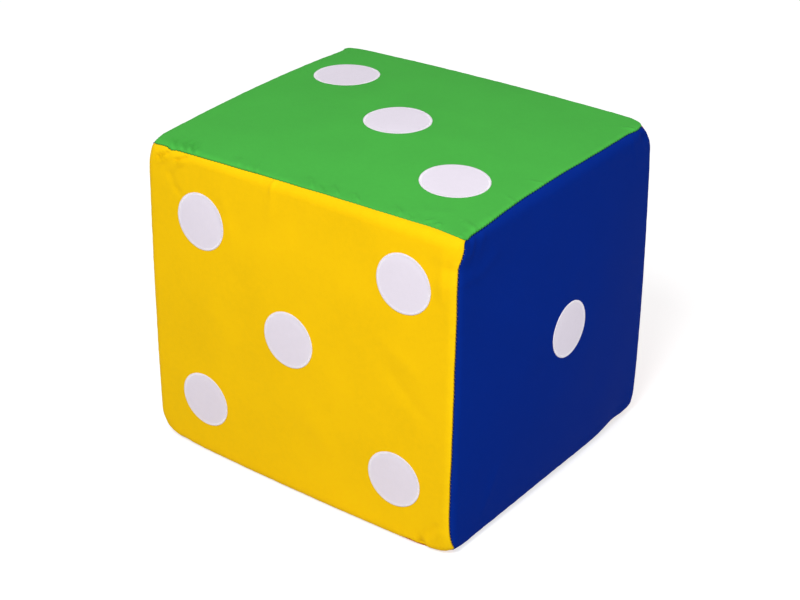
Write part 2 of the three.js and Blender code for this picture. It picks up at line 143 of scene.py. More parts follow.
@dataclass(frozen=True)
class Gather:
    """A short pucker that starts at a seam, at a place along it, and fades into the panel."""

    along: float
    height: float
    width: float
    reach: float
    slant: float = 0.0

    def lift(self, along: Grid, distance: Grid) -> Grid:
        """How far the pucker lifts the cloth, given the place along the seam and off it."""
        aside = along - self.along - self.slant * distance
        share = distance / self.reach
        return self.height * share * np.exp(1.0 - share) * np.exp(-((aside / self.width) ** 2))


@dataclass(frozen=True)
class Face:
    """One side of the block: its directions, its crown and the pips and folds on its panel."""

    side: Side
    across: Grid
    up: Grid
    crown: float
    count: int
    pip_diameter: float
    pips: tuple[tuple[float, float], ...]
    seed: int
    pip_sizes: tuple[float, ...] = ()
    creases: tuple[Crease, ...] = ()
    waviness: float = 0.0003
    pressed: bool = False
    zipped: bool = False

    @property
    def normal(self) -> Grid:
        """The outward direction."""
        return np.cross(self.across, self.up)

    def pip_size(self, number: int) -> float:
        """The width of a pip, counted from 0."""
        return self.pip_sizes[number] if self.pip_sizes else self.pip_diameter


@dataclass(frozen=True)
class Seam:
    """Where two panels are sewn together.

    The seam lies on the block's edge, or wanders off it onto the first side, and more so or less
    towards its far end. Its ends stay on the corners, and each fade is the stretch over which it
    gets there. A kink is a place along it, how far it steps aside there, and half its width. The
    shade says how dark its groove looks, as it does where it opens away from the light.
    """

    first: Side
    second: Side
    seed: int
    wander: float = 0.0
    tilt: float = 0.0
    low_fade: float = 0.025
    high_fade: float = 0.025
    gathers_on_first: tuple[Gather, ...] = ()
    gathers_on_second: tuple[Gather, ...] = ()
    kinks: tuple[tuple[float, float, float], ...] = ()
    scallop: float = 0.0002
    drift: float = 0.0003
    shade: float = 1.0

    def offset(self, along: Grid, half: float) -> Grid:
        """How far the seam lies off the edge, towards the first side, at places along it."""
        low = 1 - np.clip(1 - (half + along) / self.low_fade, 0.0, 1.0) ** 2
        high = 1 - np.clip(1 - (half - along) / self.high_fade, 0.0, 1.0) ** 2
        chance = np.random.RandomState(self.seed)
        slow = np.zeros_like(along)
        for wave in (0.031, 0.053, 0.087):
            slow = slow + np.cos(along * TURN / wave + chance.uniform(0, TURN))
        stitched = np.sin(along * TURN / STITCH_PITCH)
        aside = self.wander + self.tilt * along / half
        for place, height, width in self.kinks:
            aside = aside + height * np.exp(-(((along - place) / width) ** 2))
        return low * high * (aside + self.drift * slow / 3 + self.scallop * stitched)

    def gathers(self, side: Side, half: float) -> list[Gather]:
        """The puckers on one side: the fine ones that any seam has, and the marked ones."""
        chance = np.random.RandomState(self.seed * 7 + (1 if side is self.first else 2))
        found = []
        along = -half + chance.uniform(0.006, 0.012)
        while along < half - 0.006:
            height = chance.uniform(0.00004, 0.00016) * chance.choice((-1.0, 1.0))
            width = chance.uniform(0.0012, 0.0030)
            reach = chance.uniform(0.0018, 0.0040)
            found.append(Gather(along, height, width, reach, chance.uniform(-0.5, 0.5)))
            along += chance.uniform(0.0045, 0.0125)
        marked = self.gathers_on_first if side is self.first else self.gathers_on_second
        return found + list(marked)


@dataclass(frozen=True)
class Block:
    """The shape of the covered foam block, measured from seam to seam."""

    width: float = 0.296
    depth: float = 0.269
    height: float = 0.266
    edge_radius: float = 0.008
    seam_bow: float = 0.0016
    corner_reach: float = 0.022
    corner_pull: float = 0.004
    edge_shift_reach: float = 0.04
    zip_height: float = 0.026
    zip_flattening: float = 0.011

    @property
    def edge_reach(self) -> float:
        """How far in from the seam the rounded edge starts."""
        return self.edge_radius / math.sqrt(2)

    @property
    def edge_rise(self) -> float:
        """How far the flat of a face stands above its seams."""
        return self.edge_radius - self.edge_reach

    @property
    def middle_height(self) -> float:
        """The height of the block's middle above the ground."""
        return self.edge_rise + self.height / 2

    @property
    def middle(self) -> Grid:
        """The block's middle."""
        return np.array([0.0, 0.0, self.middle_height])

    @property
    def halves(self) -> Grid:
        """Half the block's width, depth and height."""
        return np.array([self.width, self.depth, self.height]) / 2

    def half(self, direction: Grid) -> float:
        """Half the block's size along a direction."""
        return float(np.abs(direction) @ self.halves)

    def flat_half(self, direction: Grid) -> float:
        """Half the flat stretch of a face."""
        return self.half(direction) - self.edge_reach

    def cloth_half(self, direction: Grid) -> float:
        """Half a panel's width, measured over the cloth from its middle to the edge's crest."""
        return self.flat_half(direction) + self.edge_radius * math.pi / 4

    def corner_shift(self, corner: Grid) -> Grid:
        """How a corner is drawn off its place."""
        signs = tuple(int(round(part)) for part in corner)
        return np.array(CORNER_SHIFTS.get(signs, -corner * self.corner_pull))

    def edge_shift(self, face: Face, way: Grid, run: Grid, share: Grid, along: Grid) -> Grid:
        """How far a face's two edges on one axis, where they aren't straight, move its points.

        Args:
            face: The face.
            way: The axis across the two edges.
            run: The axis along them.
            share: Places over the first axis, from -1 to 1.
            along: Places over the second axis, from -1 to 1.

        Returns:
            The moves.
        """
        moves = np.zeros(share.shape + (3,))
        distance = self.half(way) * (1 - np.abs(share))
        near = np.clip(1 - distance / self.edge_shift_reach, 0.0, None) ** 2
        place = along * float(np.sum(run))
        for sign in (-1.0, 1.0):
            signs = tuple(int(round(part)) for part in face.normal + sign * way)
            if signs in EDGE_SHIFTS:
                shift, skew = EDGE_SHIFTS[signs]
                here = near * (share * sign > 0) * (1 - place**2) * (1 + skew * place)
                moves = moves + here[..., None] * np.array(shift)
        return moves

    def roll(self, along: Grid, direction: Grid) -> tuple[Grid, Grid, Grid]:
        """Rolls a measure over the cloth round the edge.

        Args:
            along: Places over the cloth, from the panel's middle.
            direction: The direction that they run in.

        Returns:
            The same places seen flat, how much of the edge's rise is left there, and the lean.
        """
        flat = self.flat_half(direction)
        angle = np.clip(np.abs(along) - flat, 0.0, None) / self.edge_radius
        rolled = np.sign(along) * (flat + self.edge_radius * np.sin(angle))
        place = np.where(angle > 0.0, rolled, along)
        profile = (self.edge_radius * np.cos(angle) - self.edge_reach) / self.edge_rise
        lean = np.sign(along) * np.tan(np.minimum(angle, math.pi / 4))
        return place, profile, lean

    def on_face(self, face: Face, across: Grid, up: Grid) -> tuple[Grid, Grid]:
        """Points of the cover and its outward directions, on the face's own side of its edges."""
        x, profile_x, lean_x = self.roll(across, face.across)
        y, profile_y, lean_y = self.roll(up, face.up)
        half_x, half_y = self.half(face.across), self.half(face.up)
        u, v = x / half_x, y / half_y
        bow = 0.0 if face.pressed else self.seam_bow
        swell = (1 - u**2) * (face.crown * (1 - v**2) + bow * v**2)
        if face.zipped:
            off_zip = (y + self.middle_height - self.zip_height) / self.zip_flattening
            swell = swell * (1 - np.exp(-(off_zip**2)))
        bow_x = self.side_bow(face.across, u) * u**3 * (1 - v**2)
        bow_y = self.side_bow(face.up, v) * v**3 * (1 - u**2)
        out = self.half(face.normal) + bow * (1 - v**2) + swell
        out = out + self.edge_rise * profile_x * profile_y
        points = self.middle + (
            (x + bow_x)[..., None] * face.across
            + (y + bow_y)[..., None] * face.up
            + out[..., None] * face.normal
        )
        near_x = np.clip(1 - (half_x - np.abs(x)) / self.corner_reach, 0.0, None) ** 2
        near_y = np.clip(1 - (half_y - np.abs(y)) / self.corner_reach, 0.0, None) ** 2
        for sign_x in (-1.0, 1.0):
            for sign_y in (-1.0, 1.0):
                corner = sign_x * face.across + sign_y * face.up + face.normal
                here = near_x * near_y * (u * sign_x > 0) * (v * sign_y > 0)
                points = points + here[..., None] * self.corner_shift(corner)
        points = points + self.edge_shift(face, face.across, face.up, u, v)
        points = points + self.edge_shift(face, face.up, face.across, v, u)
        leaning = face.normal + lean_x[..., None] * face.across + lean_y[..., None] * face.up
        return self.lean(points), unit(leaning)

    def lean(self, points: Grid) -> Grid:
        """Leans the block out of square, evenly between its corners, and dents it in places."""
        share = (points - self.middle) / self.halves
        leant = points.copy()
        for signs, shift in CORNER_LEANS.items():
            weight = np.prod((1 + share * np.array(signs)) / 2, axis=-1)
            leant = leant + weight[..., None] * np.array(shift)
        for place, shift, reach in DENTS:
            weight = np.exp(-np.sum((points - np.array(place)) ** 2, axis=-1) / reach**2)
            leant = leant + weight[..., None] * np.array(shift)
        return leant

    def draw(self, points: Grid) -> Grid:
        """Draws points of a body inside the cover along with it, at corners and edges and all over.

        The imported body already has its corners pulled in, so only the rest is added.
        """
        half, local = self.halves, points - self.middle
        share = np.clip(local / half, -1.0, 1.0)
        distance = half - np.abs(share) * half
        moved = points.copy()
        near = np.clip(1 - distance / self.corner_reach, 0.0, None) ** 2
        for corner in itertools.product((-1, 1), repeat=3):
            signs = np.array(corner)
            here = np.prod(near * (local * signs > 0), axis=1)
            extra = self.corner_shift(signs) + signs * self.corner_pull
            moved = moved + here[:, None] * extra
        near = np.clip(1 - distance / self.edge_shift_reach, 0.0, None) ** 2
        for key, (shift, skew) in EDGE_SHIFTS.items():
            run = key.index(0)
            sides = [axis for axis in range(3) if axis != run]
            here = np.prod((near * (local * np.array(key) > 0))[:, sides], axis=1)
            here = here * (1 - share[:, run] ** 2) * (1 + skew * share[:, run])
            moved = moved + here[:, None] * np.array(shift)
        return self.lean(moved)

    def side_bow(self, direction: Grid, position: Grid) -> Grid:
        """The outward bow of the seam on one side, which the ground keeps straight below."""
        return np.where(direction[2] * position < 0, 0.0, self.seam_bow)

    def place(self, face: Face, across: Grid, up: Grid) -> tuple[Grid, Grid]:
        """Points of the cover and its outward directions, also past the face's own edges.

        Args:
            face: The face that the places are measured on.
            across: Places over the cloth across the face, from its middle.
            up: Places over the cloth up the face.

        Returns:
            The points and the outward directions.
        """
        half_x, half_y = self.cloth_half(face.across), self.cloth_half(face.up)
        inside_x, inside_y = np.clip(across, -half_x, half_x), np.clip(up, -half_y, half_y)
        points, outward = self.on_face(face, inside_x, inside_y)
        past_x, past_y = np.abs(across) - half_x, np.abs(up) - half_y
        beside, beyond = past_x > 0, (past_x <= 0) & (past_y > 0)
        for mask, way, past, along, run in (
            (beside & (across > 0), face.across, past_x, inside_y, face.up),
            (beside & (across < 0), -face.across, past_x, inside_y, face.up),
            (beyond & (up > 0), face.up, past_y, inside_x, face.across),
            (beyond & (up < 0), -face.up, past_y, inside_x, face.across),
        ):
            if mask.any():
                next_face = face_towards(way)
                inward = self.cloth_half(face.normal) - past[mask]
                cloth = inward[:, None] * face.normal + along[mask][:, None] * run
                found = self.on_face(next_face, cloth @ next_face.across, cloth @ next_face.up)
                points[mask], outward[mask] = found
        return points, outward


BLOCK = Block()

# How the photographed corners are drawn off their places, by the signs of X, Y and Z
CORNER_SHIFTS: dict[Signs, Triple] = {
    (-1, -1, -1): (0.0034, 0.0051, 0.0038),
    (-1, -1, 1): (0.0033, 0.0033, -0.0011),
    (-1, 1, 1): (-0.0025, -0.0086, 0.0012),
    (1, -1, -1): (0.0016, 0.0053, 0.0043),
    (1, -1, 1): (0.0024, 0.0064, 0.0014),
    (1, 1, -1): (-0.0022, -0.001, 0.0058),
    (1, 1, 1): (-0.0059, -0.0045, -0.0018),
}

# How the photographed block leans out of square at its corners, by the signs of X, Y and Z
CORNER_LEANS: dict[Signs, Triple] = {
    (-1, -1, -1): (-0.0017, 0.0004, 0.0),
    (-1, -1, 1): (0.0007, 0.0002, -0.0002),
    (-1, 1, 1): (-0.0038, -0.0042, -0.0023),
    (1, -1, -1): (-0.0001, -0.0016, 0.0),
    (1, -1, 1): (0.0002, 0.0006, -0.0002),
    (1, 1, -1): (0.0017, 0.0008, 0.0),
    (1, 1, 1): (0.0, 0.0005, 0.0005),
}

# How the photographed edges are drawn off straight at their middles, by the signs of the axes
# across them, and how much more so towards the far end
EDGE_SHIFTS: dict[Signs, tuple[Triple, float]] = {
    (0, -1, -1): ((0.0, -0.0016, 0.0), 0.37),
    (-1, -1, 0): ((0.0007, 0.0007, 0.0), 0.26),
    (1, 0, -1): ((-0.0018, 0.0, 0.0008), 0.1),
    (1, 1, 0): ((-0.0003, -0.0003, 0.0), 0.36),
    (-1, 0, 1): ((-0.0005, 0.0, 0.0014), 0.48),
}

# Where the photographed block is dented: the place, how far it moves there, and the reach
DENTS: tuple[tuple[Triple, Triple, float], ...] = (
    ((0.148, 0.106, 0.004), (-0.0018, 0.0, 0.0027), 0.023),
    ((-0.128, -0.132, 0.006), (0.0, 0.0006, 0.001), 0.018),
)

FRONT_PIPS = (
    (-0.0935, -0.0808), (0.0981, -0.0806), (-0.0912, 0.0817), (0.1042, 0.0894), (-0.0027, 0.0076),
)
RIGHT_PIP = (0.002, 0.009)
TOP_PIPS = ((-0.101, 0.064), (-0.0038, 0.001), (0.0935, -0.0608))
BACK_PIP = (0.088, 0.062)
SIX_PIP = (0.06, 0.08)
FOUR_PIP = (0.092, 0.0785)


def face_towards(way: Grid) -> Face:
    """The face that looks in a direction."""
    return next(face for face in FACES if face.normal @ way > 0.5)


def mirrored(place: tuple[float, float], *signs: tuple[int, int]) -> tuple[tuple[float, float], ...]:
    """The same place in several quarters of a face."""
    return tuple((across * place[0], up * place[1]) for across, up in signs)


def folds(*rows: tuple[float, ...]) -> tuple[Crease, ...]:
    """Creases, each from its start, end, height and width."""
    return tuple(Crease(row[:2], row[2:4], *row[4:]) for row in rows)


def puckers(*rows: tuple[float, ...]) -> tuple[Gather, ...]:
    """Gathers, each from its place, height, width, reach and slant."""
    return tuple(Gather(*row) for row in rows)


CORNERS = ((-1, -1), (1, -1), (-1, 1), (1, 1))
FALLING = ((-1, 1), (1, -1))

FACES = (
    Face(
        Side.FRONT, X, Z, 0.0034, 5, 0.048, FRONT_PIPS, seed=11,
        creases=folds(
            (-0.1235, 0.131, -0.138, 0.121, -0.0024, 0.0014),
            (-0.1235, 0.1295, -0.137, 0.1185, 0.0018, 0.002),
            (-0.105, 0.131, -0.119, 0.124, -0.0024, 0.0014),
            (-0.105, 0.129, -0.118, 0.1225, 0.0018, 0.002),
            (-0.1245, 0.117, -0.121, 0.107, -0.0015, 0.0026),
            (-0.121, 0.107, -0.1115, 0.097, -0.0013, 0.0018),
            (-0.014, 0.128, -0.024, 0.098, 0.0006, 0.005),
            (0.008, 0.124, 0.004, 0.088, -0.0005, 0.005),
            (0.136, 0.124, 0.137, 0.082, 0.0011, 0.0034),
            (0.128, -0.122, 0.138, -0.106, -0.0014, 0.0018),
            (0.134, -0.124, 0.143, -0.11, 0.001, 0.002),
            (0.075, 0.045, 0.128, 0.01, 0.0006, 0.007),
            (0.085, 0.02, 0.135, -0.025, -0.0006, 0.006),
            (-0.072, 0.118, -0.058, 0.07, 0.0007, 0.006),
            (0.04, -0.09, 0.01, -0.04, 0.0004, 0.008), (-0.09, 0.02, -0.06, -0.03, 0.0004, 0.008),
        ),
    ),
    Face(
        Side.RIGHT, Y, Z, 0.0093, 1, 0.047, (RIGHT_PIP,), seed=12,
        creases=folds(
            (0.112, 0.1285, 0.129, 0.1235, -0.0013, 0.0024),
            (0.116, 0.12, 0.128, 0.115, 0.0005, 0.0034),
            (-0.118, 0.1, -0.085, 0.112, 0.0007, 0.0045),
            (-0.127, 0.106, -0.112, 0.097, 0.0007, 0.003),
            (-0.129, 0.083, -0.114, 0.072, 0.0005, 0.0034),
            (-0.1, -0.118, -0.08, -0.07, 0.0006, 0.005),
        ),
    ),
    Face(Side.BACK, -X, Z, 0.0036, 2, 0.048, mirrored(BACK_PIP, *FALLING), seed=13, zipped=True),
    Face(
        Side.LEFT, -Y, Z, 0.007, 6, 0.048,
        mirrored(SIX_PIP, *CORNERS) + mirrored((SIX_PIP[0], 0.0), (-1, 1), (1, 1)), seed=14,
        creases=folds(
            (0.06, 0.02, 0.108, -0.03, -0.0003, 0.006),
            (-0.108, 0.112, -0.086, 0.09, -0.0005, 0.0024),
        ),
    ),
    Face(
        Side.TOP, X, Y, 0.0063, 3, 0.0555, TOP_PIPS, seed=15,
        pip_sizes=(0.0555, 0.055, 0.0535),
        creases=folds(
            (-0.1225, -0.134, -0.1345, -0.121, 0.0009, 0.0017),
            (-0.1185, -0.134, -0.1305, -0.12, -0.001, 0.0016),
            (-0.114, -0.134, -0.1265, -0.1175, 0.0011, 0.0016),
            (-0.11, -0.1335, -0.1225, -0.1165, -0.0012, 0.0015),
            (-0.106, -0.1335, -0.1185, -0.116, 0.0013, 0.0015),
            (-0.102, -0.1335, -0.115, -0.117, -0.0012, 0.0015),
            (-0.098, -0.1335, -0.1115, -0.1155, 0.0011, 0.0016),
            (-0.056, -0.133, -0.066, -0.122, 0.001, 0.0018),
            (0.014, -0.133, 0.002, -0.118, 0.0013, 0.0018),
            (0.026, -0.133, 0.015, -0.119, -0.0011, 0.0018),
            (0.037, -0.133, 0.025, -0.119, 0.0013, 0.0018),
            (0.056, -0.133, 0.044, -0.12, 0.0011, 0.0018),
            (0.093, -0.133, 0.083, -0.118, 0.0011, 0.002),
            (0.103, -0.133, 0.096, -0.12, -0.0006, 0.002),
            (0.1125, -0.132, 0.1175, -0.117, 0.001, 0.002),
            (0.1225, -0.133, 0.1225, -0.122, 0.0011, 0.0016),
            (0.095, -0.115, 0.125, -0.1, 0.0003, 0.004),
        ),
    ),
    Face(Side.BOTTOM, X, -Y, 0.0, 4, 0.048, mirrored(FOUR_PIP, *CORNERS), seed=16,
         pressed=True),
)

SEAMS = (
    Seam(Side.FRONT, Side.RIGHT, seed=21, tilt=-0.0009, low_fade=0.018, drift=0.0002,
         kinks=((0.1215, -0.0025, 0.0052), (0.1275, -0.0034, 0.004),
                (-0.126, -0.0019, 0.0165)),
         gathers_on_first=puckers(
             (0.112, -0.0014, 0.005, 0.005), (0.098, 0.0007, 0.005, 0.006),
             (0.126, 0.0008, 0.005, 0.005)),
         gathers_on_second=puckers(
             (0.112, -0.0008, 0.0045, 0.004), (0.122, 0.0009, 0.004, 0.005),
             (0.101, 0.0006, 0.003, 0.005))),
    Seam(Side.TOP, Side.FRONT, seed=22, wander=0.0036, tilt=0.0039, drift=0.0002, shade=0.2,
         kinks=((-0.1235, -0.0014, 0.0035), (-0.134, 0.0008, 0.01), (0.118, 0.0008, 0.025)),
         gathers_on_first=puckers(
             (-0.038, 0.0009, 0.002, 0.005, -0.5), (-0.047, 0.0007, 0.002, 0.005, -0.5)),
         gathers_on_second=puckers((-0.018, 0.001, 0.002, 0.005, -0.2))),
    Seam(Side.TOP, Side.RIGHT, seed=23, wander=0.0028, scallop=0.0005, drift=0.0002,
         kinks=((-0.113, -0.0026, 0.035), (-0.1285, -0.002, 0.006), (-0.008, 0.0009, 0.042),
                (0.113, -0.0014, 0.0085)),
         gathers_on_first=puckers(
             (-0.112, 0.001, 0.0024, 0.005, 0.3), (-0.06, 0.0007, 0.0018, 0.0045, 0.3),
             (-0.02, 0.0007, 0.0016, 0.004, -0.3), (0.112, 0.0008, 0.002, 0.0045, -0.3)),
         gathers_on_second=puckers(
             (0.116, -0.001, 0.003, 0.006, 0.5), (0.1, 0.0006, 0.003, 0.006, 0.3),
             (-0.118, 0.0008, 0.003, 0.006, -0.5), (-0.105, 0.0006, 0.003, 0.006, -0.5))),
    Seam(Side.TOP, Side.BACK, seed=24, wander=-0.0015, low_fade=0.006, high_fade=0.006),
    Seam(Side.TOP, Side.LEFT, seed=25, wander=-0.002, low_fade=0.0025),
    Seam(Side.FRONT, Side.LEFT, seed=26, wander=-0.004, high_fade=0.0025),
    Seam(Side.BACK, Side.RIGHT, seed=27, wander=0.0025, high_fade=0.0016),
    Seam(Side.BACK, Side.LEFT, seed=28, wander=-0.0015),
    Seam(Side.FRONT, Side.BOTTOM, seed=29, drift=0.0001, wander=-0.003, high_fade=0.006,
         low_fade=0.006, kinks=((0.113, 0.0054, 0.009),),
         gathers_on_first=puckers(
             (0.141, 0.0009, 0.0065, 0.0035), (0.1235, -0.003, 0.0035, 0.0035))),
    Seam(Side.RIGHT, Side.BOTTOM, seed=30, drift=0.0001, wander=-0.003, high_fade=0.006,
         low_fade=0.006),
    Seam(Side.BACK, Side.BOTTOM, seed=31, drift=0.0001),
    Seam(Side.LEFT, Side.BOTTOM, seed=32, drift=0.0001),
)


def seam_between(first: Side, second: Side) -> Seam:
    """The seam that joins two sides."""
    return next(seam for seam in SEAMS if {seam.first, seam.second} == {first, second})


def add_object(name: str, data: bpy.types.ID) -> Piece:
    """Adds an object with this data to the scene."""
    made = bpy.data.objects.new(name, data)
    bpy.context.scene.collection.objects.link(made)
    return made


def shade_smooth(mesh: bpy.types.Mesh) -> None:
    """Shades all of a mesh's faces smooth."""
    mesh.polygons.foreach_set("use_smooth", [True] * len(mesh.polygons))


def new_piece(name: str, points: Grid, faces: Iterable[Sequence[int]]) -> Piece:
    """Makes a mesh object at the origin from points and faces."""
    mesh = bpy.data.meshes.new(name)
    mesh.from_pydata([tuple(point) for point in points], [], [tuple(f) for f in faces])
    mesh.update()
    shade_smooth(mesh)
    return add_object(name, mesh)


def points_of(piece: Piece) -> Grid:
    """The places of a piece's points."""
    return np.array([vertex.co for vertex in piece.data.vertices])


def take_apart(piece: Piece) -> tuple[Grid, list[list[int]]]:
    """Removes a piece and hands back its points and faces."""
    points = points_of(piece)
    faces = [list(face.vertices) for face in piece.data.polygons]
    bpy.data.objects.remove(piece)
    return points, faces


def grid_faces(index: Grid) -> Grid:
    """The faces between a grid's points, row by row, each one anticlockwise."""
    corners = (index[:-1, :-1], index[:-1, 1:], index[1:, 1:], index[1:, :-1])
    return np.stack([corner.ravel() for corner in corners], axis=1)


def band_faces(outer: Grid, inner: Grid) -> Grid:
    """The faces between two closed loops that have as many points."""
    return np.stack([outer, np.roll(outer, -1), np.roll(inner, -1), inner], axis=1)


def rim(grid: Grid) -> Grid:
    """The values all round a grid's edge, anticlockwise."""
    return np.concatenate([grid[0, :-1], grid[:-1, -1], grid[-1, :0:-1], grid[:0:-1, 0]])


def copied_faces(faces: Sequence[Sequence[int]], size: int, count: int) -> list[list[int]]:
    """The faces of several copies of a mesh that has this many points."""
    return [[index + copy * size for index in face] for copy in range(count) for face in faces]


@contextmanager
def editing(action: str = "SELECT") -> Iterator[None]:
    """Opens the active piece's mesh for editing, with all of it selected or none."""
    bpy.ops.object.mode_set(mode="EDIT")
    bpy.ops.mesh.select_all(action=action)
    yield
    bpy.ops.object.mode_set(mode="OBJECT")


def choose(piece: Piece) -> None:
    """Deselects everything and makes one piece the active one."""
    bpy.ops.object.select_all(action="DESELECT")
    piece.select_set(True)
    bpy.context.view_layer.objects.active = piece


def apply_modifiers(piece: Piece) -> None:
    """Applies all of a piece's modifiers in their order."""
    choose(piece)
    for modifier in list(piece.modifiers):
        bpy.ops.object.modifier_apply(modifier=modifier.name)


def thicken(piece: Piece, thickness: float) -> None:
    """Gives a sheet its thickness, inwards from its outside."""
    solid = piece.modifiers.new("thickness", "SOLIDIFY")
    solid.thickness = thickness
    solid.offset = -1.0
    solid.use_even_offset = False
    apply_modifiers(piece)


def set_uv(piece: Piece, across: Grid, up: Grid) -> None:
    """Lays a UV map over the cloth, in metres along its warp and weft."""
    mesh = piece.data
    layer = mesh.uv_layers.new(name="cloth")
    index = np.zeros(len(mesh.loops), dtype=np.int32)
    mesh.loops.foreach_get("vertex_index", index)
    layer.data.foreach_set("uv", np.stack([across[index], up[index]], axis=1).ravel())


def set_attribute(piece: Piece, name: str, values: Grid) -> None:
    """Stores a number at each point of a piece."""
    attribute = piece.data.attributes.new(name, "FLOAT", "POINT")
    attribute.data.foreach_set("value", values.astype(np.float32))


class Wiring:
    """Adds nodes to a material's or a group's tree, and joins them."""

    def __init__(self, tree: Tree) -> None:
        """Keeps the tree that the nodes go into."""
        self.tree = tree

    def add(self, kind: str, **settings: object) -> bpy.types.Node:
        """Adds a node and sets its properties."""
        node = self.tree.nodes.new(kind)
        for key, value in settings.items():
            setattr(node, key, value)
        return node

    def join(self, source: Socket, target: Socket) -> None:
        """Links an output to an input."""
        self.tree.links.new(source, target)

    def put(self, target: Socket, value: object) -> None:
        """Gives an input a link or a plain value."""
        if isinstance(value, Socket):
            self.join(value, target)
        else:
            target.default_value = value

    def give(self, node: bpy.types.Node, inputs: dict[str, object]) -> None:
        """Gives a node's named inputs their links or plain values."""
        for name, value in inputs.items():
            self.put(node.inputs[name], value)

    def place(self) -> Socket:
        """The place on the object."""
        return self.add("ShaderNodeTexCoord").outputs["Object"]

    def attribute(self, name: str) -> Socket:
        """A number that is stored at the mesh's points."""
        return self.add("ShaderNodeAttribute", attribute_name=name).outputs["Fac"]

    def math(self, operation: str, first: object, second: object = 0.0) -> Socket:
        """Works out a number from one or two others."""
        node = self.add("ShaderNodeMath", operation=operation)
        self.put(node.inputs[0], first)
        self.put(node.inputs[1], second)
        return node.outputs[0]

    def blend(self, share: object, low: object, high: object) -> Socket:
        """Mixes two colours."""
        node = self.add("ShaderNodeMix", data_type="RGBA")
        self.put(node.inputs["Factor"], share)
        for socket, value in ((node.inputs[6], low), (node.inputs[7], high)):
            self.put(socket, (*value, 1.0) if isinstance(value, tuple) else value)
        return node.outputs[2]

    def spread(self, value: object, low: float, high: float, to_low: float,
               to_high: float) -> Socket:
        """Maps a number from one range to another, held at both ends."""
        node = self.add("ShaderNodeMapRange")
        self.give(node, {"Value": value, "From Min": low, "From Max": high,
                         "To Min": to_low, "To Max": to_high})
        return node.outputs[0]

    def noise(self, place: Socket, size: float, detail: float = 2.0,
              roughness: float = 0.5) -> Socket:
        """Noise whose blots are about this size in metres."""
        node = self.add("ShaderNodeTexNoise")
        self.give(node, {"Vector": place, "Scale": 1.0 / size, "Detail": detail,
                         "Roughness": roughness})
        return node.outputs["Fac"]

    def bump(self, height: Socket, strength: float,
             distance: float) -> Socket:
        """The normal of a relief that is this many metres high."""
        node = self.add("ShaderNodeBump")
        self.give(node, {"Strength": strength, "Distance": distance, "Height": height})
        return node.outputs[0]


def new_group(name: str, inputs: Sequence[tuple[str, str, object]],
              outputs: Sequence[tuple[str, str]]) -> tuple[Tree, Wiring, dict, dict]:
    """Starts a shader node group.

    Args:
        name: The group's name.
        inputs: The name, socket type and default of each input.
        outputs: The name and socket type of each output.

    Returns:
        The group, its wiring, its inputs' sockets and its outputs' sockets, both by name.
    """
    tree = bpy.data.node_groups.new(name, "ShaderNodeTree")
    for label, kind, default in inputs:
        socket = tree.interface.new_socket(name=label, in_out="INPUT", socket_type=kind)
        if default is not None:
            socket.default_value = default
    for label, kind in outputs:
        tree.interface.new_socket(name=label, in_out="OUTPUT", socket_type=kind)
    wiring = Wiring(tree)
    start, end = wiring.add("NodeGroupInput"), wiring.add("NodeGroupOutput")
    return tree, wiring, {s.name: s for s in start.outputs}, {s.name: s for s in end.inputs}


def weave_group() -> Tree:
    """A plain weave: warp and weft threads that pass over and under each other."""
    tree, wiring, given, found = new_group(
        "plain weave",
        [("Cloth", "NodeSocketVector", None), ("Pitch", "NodeSocketFloat", 0.0006)],
        [("Height", "NodeSocketFloat"), ("Thread", "NodeSocketFloat")],
    )
    split = wiring.add("ShaderNodeSeparateXYZ")
    wiring.join(given["Cloth"], split.inputs[0])
    turns = wiring.math("DIVIDE", math.pi, given["Pitch"])
    waves = [wiring.math("SINE", wiring.math("MULTIPLY", split.outputs[axis], turns))
             for axis in (0, 1)]
    warp, weft = (wiring.math("ABSOLUTE", wave) for wave in waves)
    over = wiring.spread(wiring.math("MULTIPLY", *waves), -0.15, 0.15, 0.0, 1.0)
    under = wiring.math("SUBTRACT", 1.0, over)
    height = wiring.math("ADD", wiring.math("MULTIPLY", over, warp),
                         wiring.math("MULTIPLY", under, weft))
    wiring.join(height, found["Height"])
    wiring.join(over, found["Thread"])
    return tree


def mottle_group() -> Tree:
    """Unevenness of a dyed surface: a broad drift and a fine fleck, from 0 to 1 about a half."""
    tree, wiring, given, found = new_group(
        "dye mottle",
        [("Place", "NodeSocketVector", None), ("Fleck", "NodeSocketFloat", 0.4)],
        [("Value", "NodeSocketFloat")],
    )
    broad = wiring.noise(given["Place"], 0.055)
    fine = wiring.noise(given["Place"], 0.0045, 3.0, 0.6)
    mixed = wiring.add("ShaderNodeMix", data_type="FLOAT")
    wiring.put(mixed.inputs[0], given["Fleck"])
    wiring.put(mixed.inputs[2], broad)
    wiring.put(mixed.inputs[3], fine)
    wiring.join(mixed.outputs[0], found["Value"])
    return tree


GROUPS = {"plain weave": weave_group, "dye mottle": mottle_group}


def use_group(wiring: Wiring, name: str, inputs: dict[str, object]) -> bpy.types.Node:
    """Places a node group in a material, and builds it the first time."""
    node = wiring.add("ShaderNodeGroup")
    node.node_tree = bpy.data.node_groups.get(name) or GROUPS[name]()
    wiring.give(node, inputs)
    return node


def new_material(name: str) -> tuple[bpy.types.Material, Wiring, bpy.types.Node]:
    """Starts a material, and hands back its wiring and its main shader."""
    material = bpy.data.materials.new(name)
    material.use_nodes = True
    wiring = Wiring(material.node_tree)
    return material, wiring, material.node_tree.nodes["Principled BSDF"]


